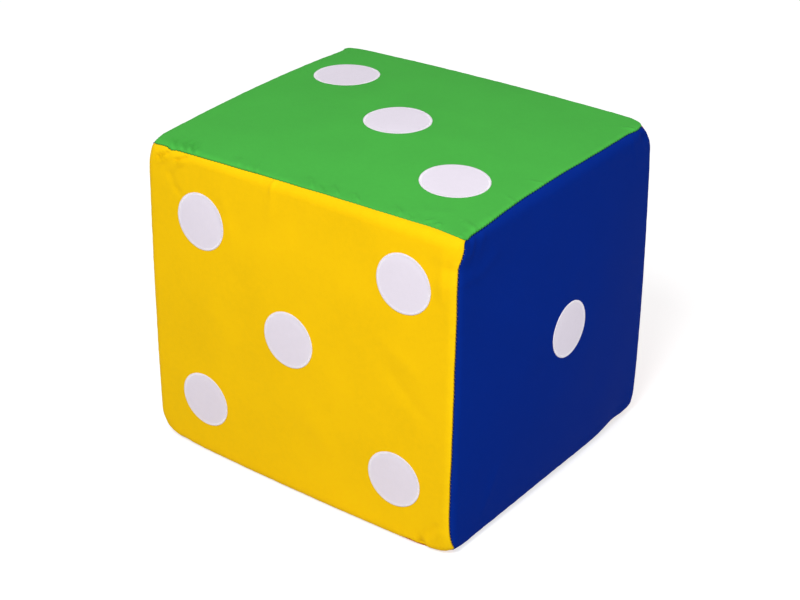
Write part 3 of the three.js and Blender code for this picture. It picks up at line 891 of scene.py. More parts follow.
@dataclass(frozen=True)
class WovenCloth:
    """A dyed woven cloth with painted light: a highlight where it bends over a seam, and shade in
    its weave, its seams' grooves and its corners' hollows.
    """

    name: str
    dye: Colour
    edge_highlight: Colour
    roughness: float = 0.62
    shine: float = 0.03
    tuck: float = 0.55
    pitch: float = 0.0006
    relief: float = 0.00006
    mottle: float = 0.05
    edge_width: float = 0.009

    def material(self) -> bpy.types.Material:
        """Builds the cloth's material."""
        material, wiring, shader = new_material(self.name)
        cloth = wiring.add("ShaderNodeUVMap", uv_map="cloth").outputs[0]
        place = wiring.place()
        weave = use_group(wiring, "plain weave", {"Cloth": cloth, "Pitch": self.pitch})
        height = weave.outputs["Height"]
        mottle = use_group(wiring, "dye mottle", {"Place": place}).outputs["Value"]
        # Painted highlight: the edge colour, blotched by noise, lightens the cloth near a seam or a
        # pip's rim, where the rounded edge catches the light.
        near = wiring.spread(wiring.attribute("seam_distance"), 0.0, self.edge_width, 1.0, 0.0)
        near = wiring.math("MULTIPLY", near, near)
        patchy = wiring.spread(wiring.noise(place, 0.012), 0.3, 0.7, 0.45, 1.0)
        dyed = wiring.blend(wiring.math("MULTIPLY", near, patchy), self.dye, self.edge_highlight)
        shade = wiring.spread(mottle, 0.25, 0.75, 1.0 - self.mottle, 1.0 + self.mottle)
        # Painted shade and highlight of the weave: low threads darker, high ones lighter, on top of
        # the random mottle.
        woven = wiring.math("MULTIPLY", shade, wiring.spread(height, 0.0, 1.0, 0.95, 1.03))
        # Painted shade: the cloth darkens in the seams' grooves and the corners' hollows.
        hollow = wiring.spread(wiring.attribute("tuck"), 0.0, 1.0, 1.0, 1.0 - self.tuck)
        shaded = wiring.add("ShaderNodeHueSaturation")
        wiring.give(shaded, {"Color": dyed, "Value": wiring.math("MULTIPLY", woven, hollow)})
        wiring.give(shader, {
            "Base Color": shaded.outputs[0],
            "Roughness": wiring.spread(mottle, 0.2, 0.8, self.roughness - 0.05,
                                       self.roughness + 0.05),
            "Normal": wiring.bump(height, 0.5, self.relief),
            "Specular IOR Level": self.shine,
        })
        return material


@dataclass(frozen=True)
class Thread:
    """Sewing or embroidery thread, with the fine lines of its twist."""

    name: str
    dye: Colour
    roughness: float = 0.42
    sheen: float = 0.15

    def material(self) -> bpy.types.Material:
        """Builds the thread's material."""
        material, wiring, shader = new_material(self.name)
        place = wiring.place()
        twist, broad = wiring.noise(place, 0.0003), wiring.noise(place, 0.004)
        mixed = wiring.math("ADD", wiring.math("MULTIPLY", twist, 0.6),
                            wiring.math("MULTIPLY", broad, 0.4))
        shade = wiring.spread(mixed, 0.3, 0.7, 0.0, 1.0)
        wiring.give(shader, {
            "Base Color": wiring.blend(shade, darker(self.dye, 0.86), self.dye),
            "Normal": wiring.bump(twist, 0.4, 0.00004),
            "Roughness": self.roughness,
            "Sheen Weight": self.sheen,
        })
        return material


@dataclass(frozen=True)
class FoamFinish:
    """Cut open-cell foam, with painted shade in its cells' pits and a dark red painted shade in the
    zip's channel.
    """

    name: str
    tint: Colour
    channel_shade: Colour
    channel_shade_reach: float = 0.01
    channel_shade_from: float = 0.12
    cells: float = 900.0

    def material(self) -> bpy.types.Material:
        """Builds the foam's material."""
        material, wiring, shader = new_material(self.name)
        place = wiring.place()
        cells = wiring.add("ShaderNodeTexVoronoi")
        wiring.give(cells, {"Vector": place, "Scale": self.cells})
        # Painted shade in the cells' pits, which also give the foam its bump.
        pits = wiring.spread(cells.outputs["Distance"], 0.1, 0.6, 0.0, 1.0)
        tint = wiring.blend(pits, darker(self.tint, 0.6), self.tint)
        # Painted shade: the foam turns dark red in the deep channel behind the zip.
        parts = wiring.add("ShaderNodeSeparateXYZ")
        wiring.give(parts, {"Vector": place})
        off_zip = wiring.math("ABSOLUTE", wiring.math("SUBTRACT", parts.outputs["Z"],
                                                      BLOCK.zip_height))
        behind = wiring.math("MULTIPLY",
                             wiring.math("LESS_THAN", off_zip, self.channel_shade_reach),
                             wiring.math("GREATER_THAN", parts.outputs["Y"], self.channel_shade_from))
        wiring.give(shader, {
            "Base Color": wiring.blend(behind, tint, self.channel_shade),
            "Normal": wiring.bump(pits, 0.6, 0.0004),
            "Roughness": 0.95,
        })
        return material


@dataclass(frozen=True)
class MouldedNylon:
    """The smooth filament of a zip's coils."""

    name: str
    tint: Colour

    def material(self) -> bpy.types.Material:
        """Builds the filament's material."""
        material, wiring, shader = new_material(self.name)
        drift = wiring.noise(wiring.place(), 0.006)
        wiring.give(shader, {
            "Base Color": wiring.blend(drift, darker(self.tint, 0.8), self.tint),
            "Roughness": wiring.spread(drift, 0.3, 0.7, 0.30, 0.42),
        })
        return material


@dataclass(frozen=True)
class PlatedMetal:
    """Nickel plate with hairline scratches and stains."""

    name: str
    tint: Colour

    def material(self) -> bpy.types.Material:
        """Builds the metal's material."""
        material, wiring, shader = new_material(self.name)
        place = wiring.place()
        stretch = wiring.add("ShaderNodeMapping")
        wiring.give(stretch, {"Vector": place, "Scale": (1.0, 1.0, 14.0)})
        hair = wiring.noise(stretch.outputs[0], 0.004, 4.0, 0.7)
        stain = wiring.spread(wiring.noise(place, 0.003), 0.35, 0.75, 0.0, 0.6)
        wiring.give(shader, {
            "Base Color": wiring.blend(stain, self.tint, darker(self.tint, 0.72)),
            "Roughness": wiring.spread(hair, 0.3, 0.7, 0.22, 0.42),
            "Normal": wiring.bump(hair, 0.15, 0.00003),
            "Metallic": 1.0,
        })
        return material


def panel_look(hue: str, dye: Colour, edge_highlight: Colour, thread_dye: Colour,
               **changes: float) -> tuple[WovenCloth, Thread, str]:
    """A panel's cloth, its sewing thread and a slot name."""
    cloth = WovenCloth(hue + " cloth", dye, edge_highlight, **changes)
    return cloth, Thread(hue + " thread", thread_dye), hue + "_fabric"


# Each panel cloth's second colour is its painted highlight along the seams.
LOOKS = {
    Side.FRONT: panel_look("yellow", colour(254, 204, 9), colour(255, 210, 14),
                           colour(232, 180, 20), tuck=0.4),
    Side.RIGHT: panel_look("blue", colour(6, 40, 134), colour(9, 45, 144), colour(8, 26, 96),
                           shine=0.008, tuck=0.7),
    Side.BACK: panel_look("red", colour(205, 26, 34), colour(222, 46, 48), colour(170, 18, 26)),
    Side.LEFT: panel_look("violet", colour(98, 40, 138), colour(118, 62, 158),
                          colour(80, 30, 112)),
    Side.TOP: panel_look("green", colour(76, 181, 72), colour(79, 188, 75), colour(60, 150, 60)),
    Side.BOTTOM: panel_look("orange", colour(236, 116, 22), colour(246, 134, 40),
                            colour(206, 96, 16)),
}
# The white cloth's second colour is its painted highlight near the pip's rim.
PIP_CLOTH = WovenCloth("white cloth", colour(237, 229, 242), colour(240, 233, 245), mottle=0.03,
                       pitch=0.0005, relief=0.00004)
SATIN = Thread("white satin thread", colour(247, 242, 250), roughness=0.30, sheen=0.1)
# The foam's second colour is the dark red painted shade in the zip's channel.
FOAM = FoamFinish("cut foam", colour(236, 226, 186), colour(52, 12, 14))
ZIP_CLOTH = WovenCloth("zip tape cloth", colour(150, 18, 26), colour(150, 18, 26), pitch=0.0008,
                       relief=0.00012)
COIL_NYLON = MouldedNylon("zip coil nylon", colour(140, 16, 24))
NICKEL = PlatedMetal("nickel plate", colour(202, 204, 206))


def dress(piece: Piece, finish: object) -> None:
    """Gives a piece its material, built once."""
    material = bpy.data.materials.get(finish.name) or finish.material()
    piece.data.materials.clear()
    piece.data.materials.append(material)


def between(values: Grid, column: Grid, row: Grid) -> Grid:
    """Reads a grid of values smoothly at places between its points."""

    def weights(offset: Grid) -> tuple[tuple[int, Grid], ...]:
        return ((-1, (0.5 - offset) ** 2 / 2), (0, 0.75 - offset**2), (1, (0.5 + offset) ** 2 / 2))

    near_column = np.clip(np.rint(column), 1, values.shape[1] - 2).astype(int)
    near_row = np.clip(np.rint(row), 1, values.shape[0] - 2).astype(int)
    total = np.zeros_like(column)
    for down, row_weight in weights(row - near_row):
        for aside, column_weight in weights(column - near_column):
            total += row_weight * column_weight * values[near_row + down, near_column + aside]
    return total


@dataclass(frozen=True)
class Settling:
    """A short cloth simulation in which the panels, held at their seams, settle.

    Each panel is slightly too large near its seams, as sewn cloth is, so that it puckers there.
    """

    step: float = 0.0042
    frames: int = 16
    fullness: float = 0.02
    full_width: float = 0.016
    tension: float = 12.0
    bending: float = 0.25
    quality: int = 5
    mass: float = 0.15
    most: float = 0.0009

    def run(self, panels: Iterable["Panel"]) -> None:
        """Simulates coarse copies of the panels and hands each panel its heights."""
        copies = [(panel, self.copy(panel)) for panel in panels if not panel.face.pressed]
        scene = bpy.context.scene
        for number in range(1, self.frames + 1):
            scene.frame_set(number)
        for panel, (piece, points, outward) in copies:
            apply_modifiers(piece)
            heights = np.sum((points_of(piece) - points) * outward, axis=1)
            LOG.info("%s settled by %.2f to %.2f mm", panel.face.side.value,
                     heights.min() * 1000, heights.max() * 1000)
            columns, rows = self.counts(panel)
            panel.settled = np.clip(heights, -self.most, self.most).reshape(rows + 1, columns + 1)
            bpy.data.objects.remove(piece)
        scene.frame_set(1)

    def counts(self, panel: "Panel") -> tuple[int, int]:
        """How many steps there are across a panel and up it."""
        across, up = (int(round(2 * half / self.step)) for half in panel.half)
        return across, up

    def copy(self, panel: "Panel") -> tuple[Piece, Grid, Grid]:
        """A coarse copy of a panel with its cloth settings, its points and its directions."""
        columns, rows = self.counts(panel)
        x = np.linspace(-panel.half[0], panel.half[0], columns + 1)
        y = np.linspace(-panel.half[1], panel.half[1], rows + 1)
        across, up = (part.ravel() for part in np.meshgrid(x, y))
        points, outward = BLOCK.place(panel.face, across, up)
        start = points + panel.unevenness(across, up)[:, None] * outward
        index = np.arange(len(points)).reshape(rows + 1, columns + 1)
        piece = new_piece("settling_" + panel.face.side.value, start, grid_faces(index))
        edge = np.minimum(panel.half[0] - np.abs(across), panel.half[1] - np.abs(up))
        sewn = piece.vertex_groups.new(name="sewn")
        full = piece.vertex_groups.new(name="full")
        for number, distance in enumerate(edge):
            sewn.add([number], 1.0 if distance < self.step / 2 else 0.0, "REPLACE")
            full.add([number], math.exp(-distance / self.full_width), "REPLACE")
        cloth = piece.modifiers.new("settling", "CLOTH").settings
        cloth.quality = self.quality
        cloth.mass = self.mass
        cloth.tension_stiffness = cloth.compression_stiffness = self.tension
        cloth.shear_stiffness = self.tension / 2
        cloth.bending_stiffness = self.bending
        cloth.vertex_group_mass = "sewn"
        cloth.vertex_group_shrink = "full"
        cloth.shrink_min = 0.0
        cloth.shrink_max = -self.fullness
        cloth.effector_weights.gravity = 0.0
        return piece, points, outward


class ThreadStitch:
    """One stitch, modelled once as an arched thread and copied to wherever a stitch goes."""

    def __init__(self, length: float, radius: float, arch: float, sides: int = 6) -> None:
        """Models the stitch.

        Args:
            length: The stitch's length, along X.
            radius: Half the thread's thickness.
            arch: How far its middle stands above its ends.
            sides: The number of sides of the thread.
        """
        girths = (0.4, 1.0, 1.05, 1.0, 0.4)
        steps = len(girths) - 1
        bpy.ops.object.select_all(action="DESELECT")
        bpy.ops.mesh.primitive_circle_add(
            vertices=sides, radius=radius, fill_type="NGON",
            location=(-length / 2, 0, 0), rotation=(0, -math.pi / 2, 0),
        )
        bpy.ops.object.transform_apply(location=True, rotation=True, scale=True)
        with editing():
            bpy.ops.transform.resize(value=(girths[0], girths[0], girths[0]))
            height = 0.0
            for step in range(1, steps + 1):
                next_height = arch * math.sin(math.pi * step / steps)
                rise, height = next_height - height, next_height
                bpy.ops.mesh.extrude_region_move(
                    TRANSFORM_OT_translate={"value": (length / steps, 0, rise)}
                )
                grown = girths[step] / girths[step - 1]
                bpy.ops.transform.resize(value=(1.0, grown, grown))
            bpy.ops.mesh.select_all(action="SELECT")
            bpy.ops.mesh.normals_make_consistent(inside=False)
        self.points, self.faces = take_apart(bpy.context.object)

    def copies(self, name: str, places: Grid, along: Grid, outward: Grid) -> Piece:
        """Copies the stitch to places, each turned to lie along a direction.

        Args:
            name: The name of the piece that holds the copies.
            places: Where the stitches' middles go.
            along: The direction of each stitch.
            outward: The direction that each stitch arches in.

        Returns:
            The new piece.
        """
        along = unit(along)
        sideways = unit(np.cross(outward, along))
        axes = np.stack([along, sideways, np.cross(along, sideways)], axis=1)
        points = places[:, None, :] + self.points @ axes
        faces = copied_faces(self.faces, len(self.points), len(places))
        return new_piece(name, points.reshape(-1, 3), faces)


class Panel:
    """One sewn panel of the cover, from seam allowance to seam allowance."""

    coarse_step = 0.00245
    fine_per_coarse = 3
    insets = (0.0, 0.0002, 0.00045, 0.00075, 0.0011, 0.0016, 0.0022, 0.0030, 0.0040, 0.0052,
              0.0066, 0.0082, 0.0100)
    middle_inset = 0.012
    layer_gap = 0.00018
    roll_in = 0.0012
    blend_width = 0.022
    slot_lip = 0.0022
    groove_width = 0.0006
    hollow_width = 0.0022
    dent_width = 0.006
    dent_depth = 0.0012
    gather_zone = 0.05
    level_width = 0.003
    slot_level = (0.003, 0.012)
    fold_depths = (SEAM_ALLOWANCE, SEAM_ALLOWANCE / 2, 0.0012, 0.0004)
    slot_steps = (0.0, 0.0002, 0.00045, 0.0008, 0.0016)
    least_step = 0.0009
    lip_start = 0.0005
    probe = 0.0004

    def __init__(self, face: Face) -> None:
        """Keeps the face and its slot, and works out the panel's half sizes."""
        self.face = face
        self.half = (BLOCK.cloth_half(face.across), BLOCK.cloth_half(face.up))
        self.slot = ZipPlan().slot if face.zipped else None
        self.sides = self.find_sides()
        self.waves = self.find_waves()
        self.settled: Grid | None = None

    def find_sides(self) -> list[tuple[int, float, Seam, float]]:
        """The panel's four sides: axis, sign, seam, and the seam's sense along it."""
        found = []
        for axis, way, run in ((0, self.face.across, self.face.up),
                               (1, self.face.up, self.face.across)):
            for sign in (-1.0, 1.0):
                seam = seam_between(self.face.side, face_towards(sign * way).side)
                found.append((axis, sign, seam, float(np.sum(run))))
        return found

    def find_waves(self) -> list[tuple[float, float, float, float]]:
        """The slow unevenness of cloth over foam, as a few waves: two rates, phase and height."""
        chance = np.random.RandomState(self.face.seed)
        found = []
        for _ in range(14):
            length = chance.uniform(0.040, 0.110)
            angle = chance.uniform(0.0, math.pi)
            rate = TURN / length
            found.append((rate * math.cos(angle), rate * math.sin(angle),
                          chance.uniform(0.0, TURN), chance.uniform(0.4, 1.0)))
        return found

    def slot_distance(self, across: Grid, up: Grid) -> Grid:
        """How far a place is outside the zip's slot."""
        if self.slot is None:
            return np.full_like(across, 1.0)
        half_length, low, high = self.slot
        off_x = np.clip(np.abs(across) - half_length, 0.0, None)
        off_y = np.clip(np.abs(up - (low + high) / 2) - (high - low) / 2, 0.0, None)
        return np.hypot(off_x, off_y)

    def curl(self, distance: Grid) -> Grid:
        """How deep the cloth has rolled in, near an edge that turns inwards."""
        short = np.clip(self.roll_in - distance, 0.0, self.roll_in)
        return self.roll_in - np.sqrt(self.roll_in**2 - short**2)

    def unevenness(self, across: Grid, up: Grid) -> Grid:
        """The slow waves in the cloth before it has settled."""
        x, y = across / self.half[0], up / self.half[1]
        total = np.zeros_like(across)
        for rate_x, rate_y, phase, height in self.waves:
            total = total + height * np.cos(rate_x * across + rate_y * up + phase)
        scale = self.face.waviness / math.sqrt(len(self.waves))
        return total * scale * np.clip((1 - x**4) * (1 - y**4), 0.0, None)

    def rest(self, across: Grid, up: Grid) -> Grid:
        """The heights at which the cloth came to rest in the simulation, level at the seams."""
        rows, columns = self.settled.shape
        column = (across / self.half[0] + 1) / 2 * (columns - 1)
        row = (up / self.half[1] + 1) / 2 * (rows - 1)
        edge = np.minimum(self.half[0] - np.abs(across), self.half[1] - np.abs(up))
        return between(self.settled, column, row) * smooth(edge / self.level_width)

    def lift(self, across: Grid, up: Grid) -> Grid:
        """How far the cloth stands off the block's plain shape."""
        total = self.unevenness(across, up) if self.settled is None else self.rest(across, up)
        for crease in self.face.creases:
            total = total + crease.lift(across, up)
        places = (across, up)
        deepest = np.zeros_like(across)
        for axis, sign, seam, sense in self.sides:
            distance = self.half[axis] - sign * places[axis]
            along = places[1 - axis] * sense
            near = distance < self.gather_zone
            for gather in seam.gathers(self.face.side, self.half[1 - axis]):
                total[near] += gather.lift(along[near], np.clip(distance[near], 0.0, None))
            stitched = 1.0 + 0.18 * np.cos(along * TURN / STITCH_PITCH)
            deepest = np.maximum(deepest, self.curl(np.clip(distance, 0.0, None) * stitched))
        if self.face.pressed:
            total = -self.dent(across, up)
        off_slot = self.slot_distance(across, up)
        level, width = self.slot_level
        total = total * smooth((off_slot - level) / width)
        return total - np.maximum(deepest, self.curl(off_slot))

    def tuck(self, across: Grid, up: Grid) -> Grid:
        """How much painted shade a place gets, from 0 to 1, by how deep it lies in a seam's groove
        and in a corner's hollow.
        """
        places = (across, up)
        corner = np.hypot(self.half[0] - np.abs(across), self.half[1] - np.abs(up))
        deepest = np.exp(-((corner / self.hollow_width) ** 2))
        for axis, sign, seam, _ in self.sides:
            distance = np.clip(self.half[axis] - sign * places[axis], 0.0, None)
            groove = seam.shade * np.exp(-((distance / self.groove_width) ** 2))
            deepest = np.maximum(deepest, groove)
        return deepest

    def dent(self, across: Grid, up: Grid) -> Grid:
        """How deep the ground presses the pips of a panel that rests on it into the foam."""
        deepest = np.zeros_like(across)
        for number, (x, y) in enumerate(self.face.pips):
            off = np.hypot(across - x, up - y) - self.face.pip_size(number) / 2
            deepest = np.maximum(deepest, smooth(1 - off / self.dent_width))
        return deepest * self.dent_depth

    def place(self, across: Grid, up: Grid, raised: Grid | float = 0.0) -> Grid:
        """Points of the finished panel's outside, or raised off it.

        Args:
            across: Places across the panel, as it was before its seams wandered.
            up: Places up the panel.
            raised: How far the points lie off the cloth.

        Returns:
            The points.
        """
        moved = [np.array(across, dtype=float), np.array(up, dtype=float)]
        places = (across, up)
        for axis, sign, seam, sense in self.sides:
            half = self.half[axis]
            distance = half - sign * places[axis]
            share = smooth(1.0 - distance / self.blend_width)
            off = seam.offset(places[1 - axis] * sense, self.half[1 - axis])
            outwards = -off if seam.first is self.face.side else off
            moved[axis] = moved[axis] + sign * share * outwards
        points, outward = BLOCK.place(self.face, moved[0], moved[1])
        return points + (self.lift(across, up) + raised)[..., None] * outward

    def lines(self, axis: int) -> Grid:
        """The grid's lines over one axis, as shares of a half size from -1 to 1."""
        half = self.half[axis] - self.middle_inset
        count = int(round(2 * half / self.coarse_step))
        plain = np.linspace(-1.0, 1.0, count + 1) * half
        if self.slot is None:
            return plain / half
        half_length, low, high = self.slot
        steps = np.array(self.slot_steps)
        if axis == 0:
            special = np.concatenate([half_length + steps[:4], -half_length - steps[:4]])
        else:
            special = np.concatenate([low - steps, high + steps])
        kept = [value for value in plain if np.min(np.abs(special - value)) > self.least_step]
        return np.unique(np.concatenate([kept, special, [-half, half]])) / half

    def fine(self, lines: Grid) -> Grid:
        """The same lines with each step cut in three."""
        count = self.fine_per_coarse
        steps = [lines[:-1] + (lines[1:] - lines[:-1]) * part / count for part in range(count)]
        return np.append(np.stack(steps, axis=1).ravel(), lines[-1])

    def ring(self, shares: tuple[Grid, Grid], inset: float) -> tuple[Grid, Grid]:
        """A loop of places all round the panel, anticlockwise, this far in from its seams."""
        x, y = (share * (half - inset) for share, half in zip(shares, self.half))
        across, up = np.meshgrid(x, y)
        return rim(across), rim(up)

    def build(self) -> Piece:
        """Builds the panel as one closed sheet with its thickness."""
        coarse = (self.lines(0), self.lines(1))
        shares = (self.fine(coarse[0]), self.fine(coarse[1]))
        rows = [(self.layer_gap, depth) for depth in self.fold_depths]
        rows += [(max(inset, self.layer_gap), 0.0) for inset in self.insets]
        across, up = (list(part) for part in zip(*(self.ring(shares, row[0]) for row in rows)))
        size = len(across[0])
        deeper = [np.full(size, depth) for _, depth in rows]
        loops = np.arange(len(rows) * size).reshape(len(rows), size)
        faces = []
        for outer, inner in zip(loops, loops[1:]):
            faces.extend(band_faces(outer, inner))

        x, y = (part * (half - self.middle_inset) for part, half in zip(coarse, self.half))
        grid_x, grid_y = np.meshgrid(x, y)
        index = loops.size + np.arange(grid_x.size).reshape(grid_x.shape)
        across.append(grid_x.ravel())
        up.append(grid_y.ravel())
        deeper.append(np.zeros(grid_x.size))
        faces.extend(self.join_coarse(loops[-1], rim(index)))
        faces.extend(self.cells(index, x, y))

        all_x, all_y, depth = (np.concatenate(part) for part in (across, up, deeper))
        if self.slot is not None:
            all_x, all_y, depth, lip = self.add_lip(index, x, y, all_x, all_y, depth)
            faces.extend(lip)
        used = np.unique(np.concatenate([np.array(face) for face in faces]))
        renumber = np.full(len(all_x), -1)
        renumber[used] = np.arange(len(used))
        all_x, all_y, depth = all_x[used], all_y[used], depth[used]
        faces = [tuple(renumber[list(face)]) for face in faces]

        piece = new_piece("cover_" + self.face.side.value, self.place(all_x, all_y, -depth), faces)
        set_uv(piece, all_x, all_y)
        edge = np.minimum(self.half[0] - np.abs(all_x), self.half[1] - np.abs(all_y))
        set_attribute(piece, "seam_distance", np.minimum(edge, self.slot_distance(all_x, all_y)))
        # Where the cloth gets painted shade, in its seams' grooves and its corners' hollows.
        set_attribute(piece, "tuck", self.tuck(all_x, all_y))
        thicken(piece, FABRIC_THICKNESS)
        return piece

    def join_coarse(self, fine: Grid, coarse: Grid) -> list[tuple[int, ...]]:
        """Faces between a fine loop and a coarse one with a third of its points."""
        faces = []
        next_fine = np.append(fine, fine[0])
        next_coarse = np.append(coarse, coarse[0])
        for k in range(len(coarse)):
            a, b, c, d = next_fine[3 * k : 3 * k + 4]
            low, high = next_coarse[k], next_coarse[k + 1]
            faces += [(a, b, low), (b, c, high, low), (c, d, high)]
        return faces

    def cells(self, index: Grid, x: Grid, y: Grid) -> Grid:
        """The faces of the panel's middle, without those over the zip's slot."""
        faces = grid_faces(index)
        if self.slot is None:
            return faces
        half_length, low, high = self.slot
        middle_x, middle_y = np.meshgrid((x[:-1] + x[1:]) / 2, (y[:-1] + y[1:]) / 2)
        over = (np.abs(middle_x) < half_length) & (middle_y > low) & (middle_y < high)
        return faces[~over.ravel()]

    def add_lip(self, index: Grid, x: Grid, y: Grid, all_x: Grid, all_y: Grid,
                depth: Grid) -> tuple[Grid, Grid, Grid, list[Grid]]:
        """Turns the cloth in all round the slot, down to the zip's tapes."""
        half_length, low, high = self.slot
        left, right = (int(np.argmin(np.abs(x - side * half_length))) for side in (-1, 1))
        bottom, top = (int(np.argmin(np.abs(y - level))) for level in (low, high))
        loop = rim(index[bottom : top + 1, left : right + 1])
        faces = []
        previous = loop
        for lip_depth in (self.lip_start, self.slot_lip - self.roll_in):
            ring = len(all_x) + np.arange(len(loop))
            all_x = np.append(all_x, all_x[loop])
            all_y = np.append(all_y, all_y[loop])
            depth = np.append(depth, np.full(len(loop), lip_depth))
            faces.extend(band_faces(previous, ring))
            previous = ring
        return all_x, all_y, depth, faces

    def frame_at(self, across: Grid, up: Grid, turn: Grid) -> tuple[Grid, Grid]:
        """The direction over the cloth at an angle, and the outward direction, at places."""
        x, y = np.cos(turn) * self.probe, np.sin(turn) * self.probe
        run = self.place(across + x, up + y) - self.place(across - x, up - y)
        aside = self.place(across - y, up + x) - self.place(across + y, up - x)
        return unit(run), unit(np.cross(run, aside))


@dataclass(frozen=True)
class ZipPlan:
    """The zip's sizes that the cover needs, and its places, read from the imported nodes."""

    gap: float = 0.013
    end_room: float = 0.0015

    @property
    def slot(self) -> tuple[float, float, float]:
        """The slot's half length, and its lower and upper edge from the panel's middle."""
        half_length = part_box("zip_bottom_stop")[1].x + self.end_room
        middle = BLOCK.zip_height - BLOCK.middle_height
        return half_length, middle - self.gap / 2, middle + self.gap / 2


@dataclass
class Pip:
    """A round patch of white cloth, sewn on with satin stitch round its edge."""

    panel: Panel
    number: int
    place: tuple[float, float]
    stitch_length: float = 0.0028
    stitch_pitch: float = 0.0005
    thread_radius: float = 0.00023
    patch_lift: float = 0.00012
    patch_thickness: float = 0.0003
    puff: float = 0.0001
    puff_width: float = 0.004
    place_error: float = 0.00008
    turn_error: float = 0.06
    sunk: float = 0.8
    rings: int = 18
    spokes: int = 96

    @property
    def name(self) -> str:
        """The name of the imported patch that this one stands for."""
        return f"pip_{self.panel.face.count}_{self.number}"

    @property
    def radius(self) -> float:
        """Half the pip's width over its stitches."""
        return self.panel.face.pip_size(self.number - 1) / 2

    def build(self, stitch: ThreadStitch) -> None:
        """Builds the patch and its ring of stitches."""
        patch = self.build_patch()
        dress(patch, PIP_CLOTH)
        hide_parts(self.name)
        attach(patch, "die")
        size = 2 * (self.radius - self.thread_radius)
        ring = self.build_ring(stitch)
        dress(ring, SATIN)
        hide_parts(self.name + "_rim")
        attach(ring, "die")

    def build_patch(self) -> Piece:
        """The patch: rings of points over the cover, drawn down under the stitches."""
        edge = self.radius - self.thread_radius
        radii = edge * np.sqrt(np.linspace(0.0, 1.0, self.rings + 1)[1:])
        angles = np.arange(self.spokes) * TURN / self.spokes
        off, angle = (part.ravel() for part in np.meshgrid(radii, angles, indexing="ij"))
        off, angle = np.append(0.0, off), np.append(0.0, angle)
        x, y = self.place[0] + off * np.cos(angle), self.place[1] + off * np.sin(angle)
        first = 1 + np.arange(self.spokes)
        faces = [(0, low, high) for low, high in zip(first, np.roll(first, -1))]
        for ring in range(self.rings - 1):
            low = first + ring * self.spokes
            high = low + self.spokes
            faces.extend(np.stack([low, high, np.roll(high, -1), np.roll(low, -1)], axis=1))
        points = self.panel.place(x, y, self.rise(off) + self.patch_thickness)
        patch = new_piece(self.name + "_patch", points, faces)
        set_uv(patch, x, y)
        set_attribute(patch, "seam_distance", self.radius - off)
        thicken(patch, self.patch_thickness)
        return patch

    def rise(self, radius: Grid) -> Grid:
        """How far the patch's underside lies off the cover: a little more between its stitches."""
        inside = self.radius - self.stitch_length - radius
        return self.patch_lift + self.puff * smooth(inside / self.puff_width)

    def build_ring(self, stitch: ThreadStitch) -> Piece:
        """The ring of stitches, one beside the other."""
        middle = self.radius - self.stitch_length / 2
        count = int(round(TURN * middle / self.stitch_pitch))
        chance = np.random.RandomState(self.panel.face.seed * 31 + self.number)
        angles = np.arange(count) * TURN / count
        radii = middle + chance.uniform(-self.place_error, self.place_error, count)
        across = self.place[0] + radii * np.cos(angles)
        up = self.place[1] + radii * np.sin(angles)
        turn = angles + chance.uniform(-self.turn_error, self.turn_error, count)
        along, outward = self.panel.frame_at(across, up, turn)
        rise = self.patch_lift + self.patch_thickness - self.thread_radius * self.sunk
        places = self.panel.place(across, up, rise)
        return stitch.copies(self.name + "_satin", places, along, outward)


class Cover:
    """The six panels, their pips and the thread of their seams."""

    satin_arch = 0.0001
    thread_length = 0.0016
    thread_radius = 0.00016
    thread_arch = 0.0002
    thread_rise = 0.00045
    groove_depth = 0.002
    seam_end = 0.006

    def __init__(self) -> None:
        """Makes the panels' plans, and lets their cloth settle."""
        self.panels = {face.side: Panel(face) for face in FACES}
        Settling().run(self.panels.values())

    def build(self) -> None:
        """Builds the panels, the seams' thread and the pips."""
        satin = ThreadStitch(Pip.stitch_length, Pip.thread_radius, self.satin_arch)
        for side, panel in self.panels.items():
            piece = panel.build()
            cloth, _, slot = LOOKS[side]
            dress(piece, cloth)
            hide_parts(self.node(side))
            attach(piece, "die")
            LOG.info("%s: %d faces", piece.name, len(piece.data.polygons))
            for number, place in enumerate(panel.face.pips, start=1):
                Pip(panel, number, place).build(satin)
        self.sew_seams()

    def node(self, side: Side) -> str:
        """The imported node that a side's panel stands for."""
        return f"panel_{self.panels[side].face.count}_{side.value}"

    def sew_seams(self) -> None:
        """Lays the seams' stitches in the grooves between the panels."""
        stitch = ThreadStitch(self.thread_length, self.thread_radius, self.thread_arch)
        for seam in SEAMS:
            panel = self.panels[seam.first]
            axis, sign = next((a, s) for a, s, other, _ in panel.sides if other is seam)
            half = panel.half[1 - axis]
            along = np.arange(-half + self.seam_end, half - self.seam_end, STITCH_PITCH)
            edge = np.full_like(along, sign * (panel.half[axis] - panel.layer_gap))
            across, up = (edge, along) if axis == 0 else (along, edge)
            turn = np.full_like(along, 0.0 if axis == 0 else math.pi / 2)
            run, _ = panel.frame_at(across, up, turn + math.pi / 2)
            places = panel.place(across, up, self.thread_rise)
            outward = unit(places - panel.place(across, up, -self.groove_depth))
            piece = stitch.copies(f"seam_{seam.first.value}_{seam.second.value}", places,
                                  np.cross(run, outward), outward)
            _, thread, slot = LOOKS[seam.first]
            dress(piece, thread)
            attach(piece, "die")


def add_bevel(piece: Piece, width: float, segments: int, angle: float) -> None:
    """Adds a bevel of the edges that turn by more than an angle in degrees."""
    bevel = piece.modifiers.new("broken edges", "BEVEL")
    bevel.width = width
    bevel.segments = segments
    bevel.limit_method = "ANGLE"
    bevel.angle_limit = math.radians(angle)


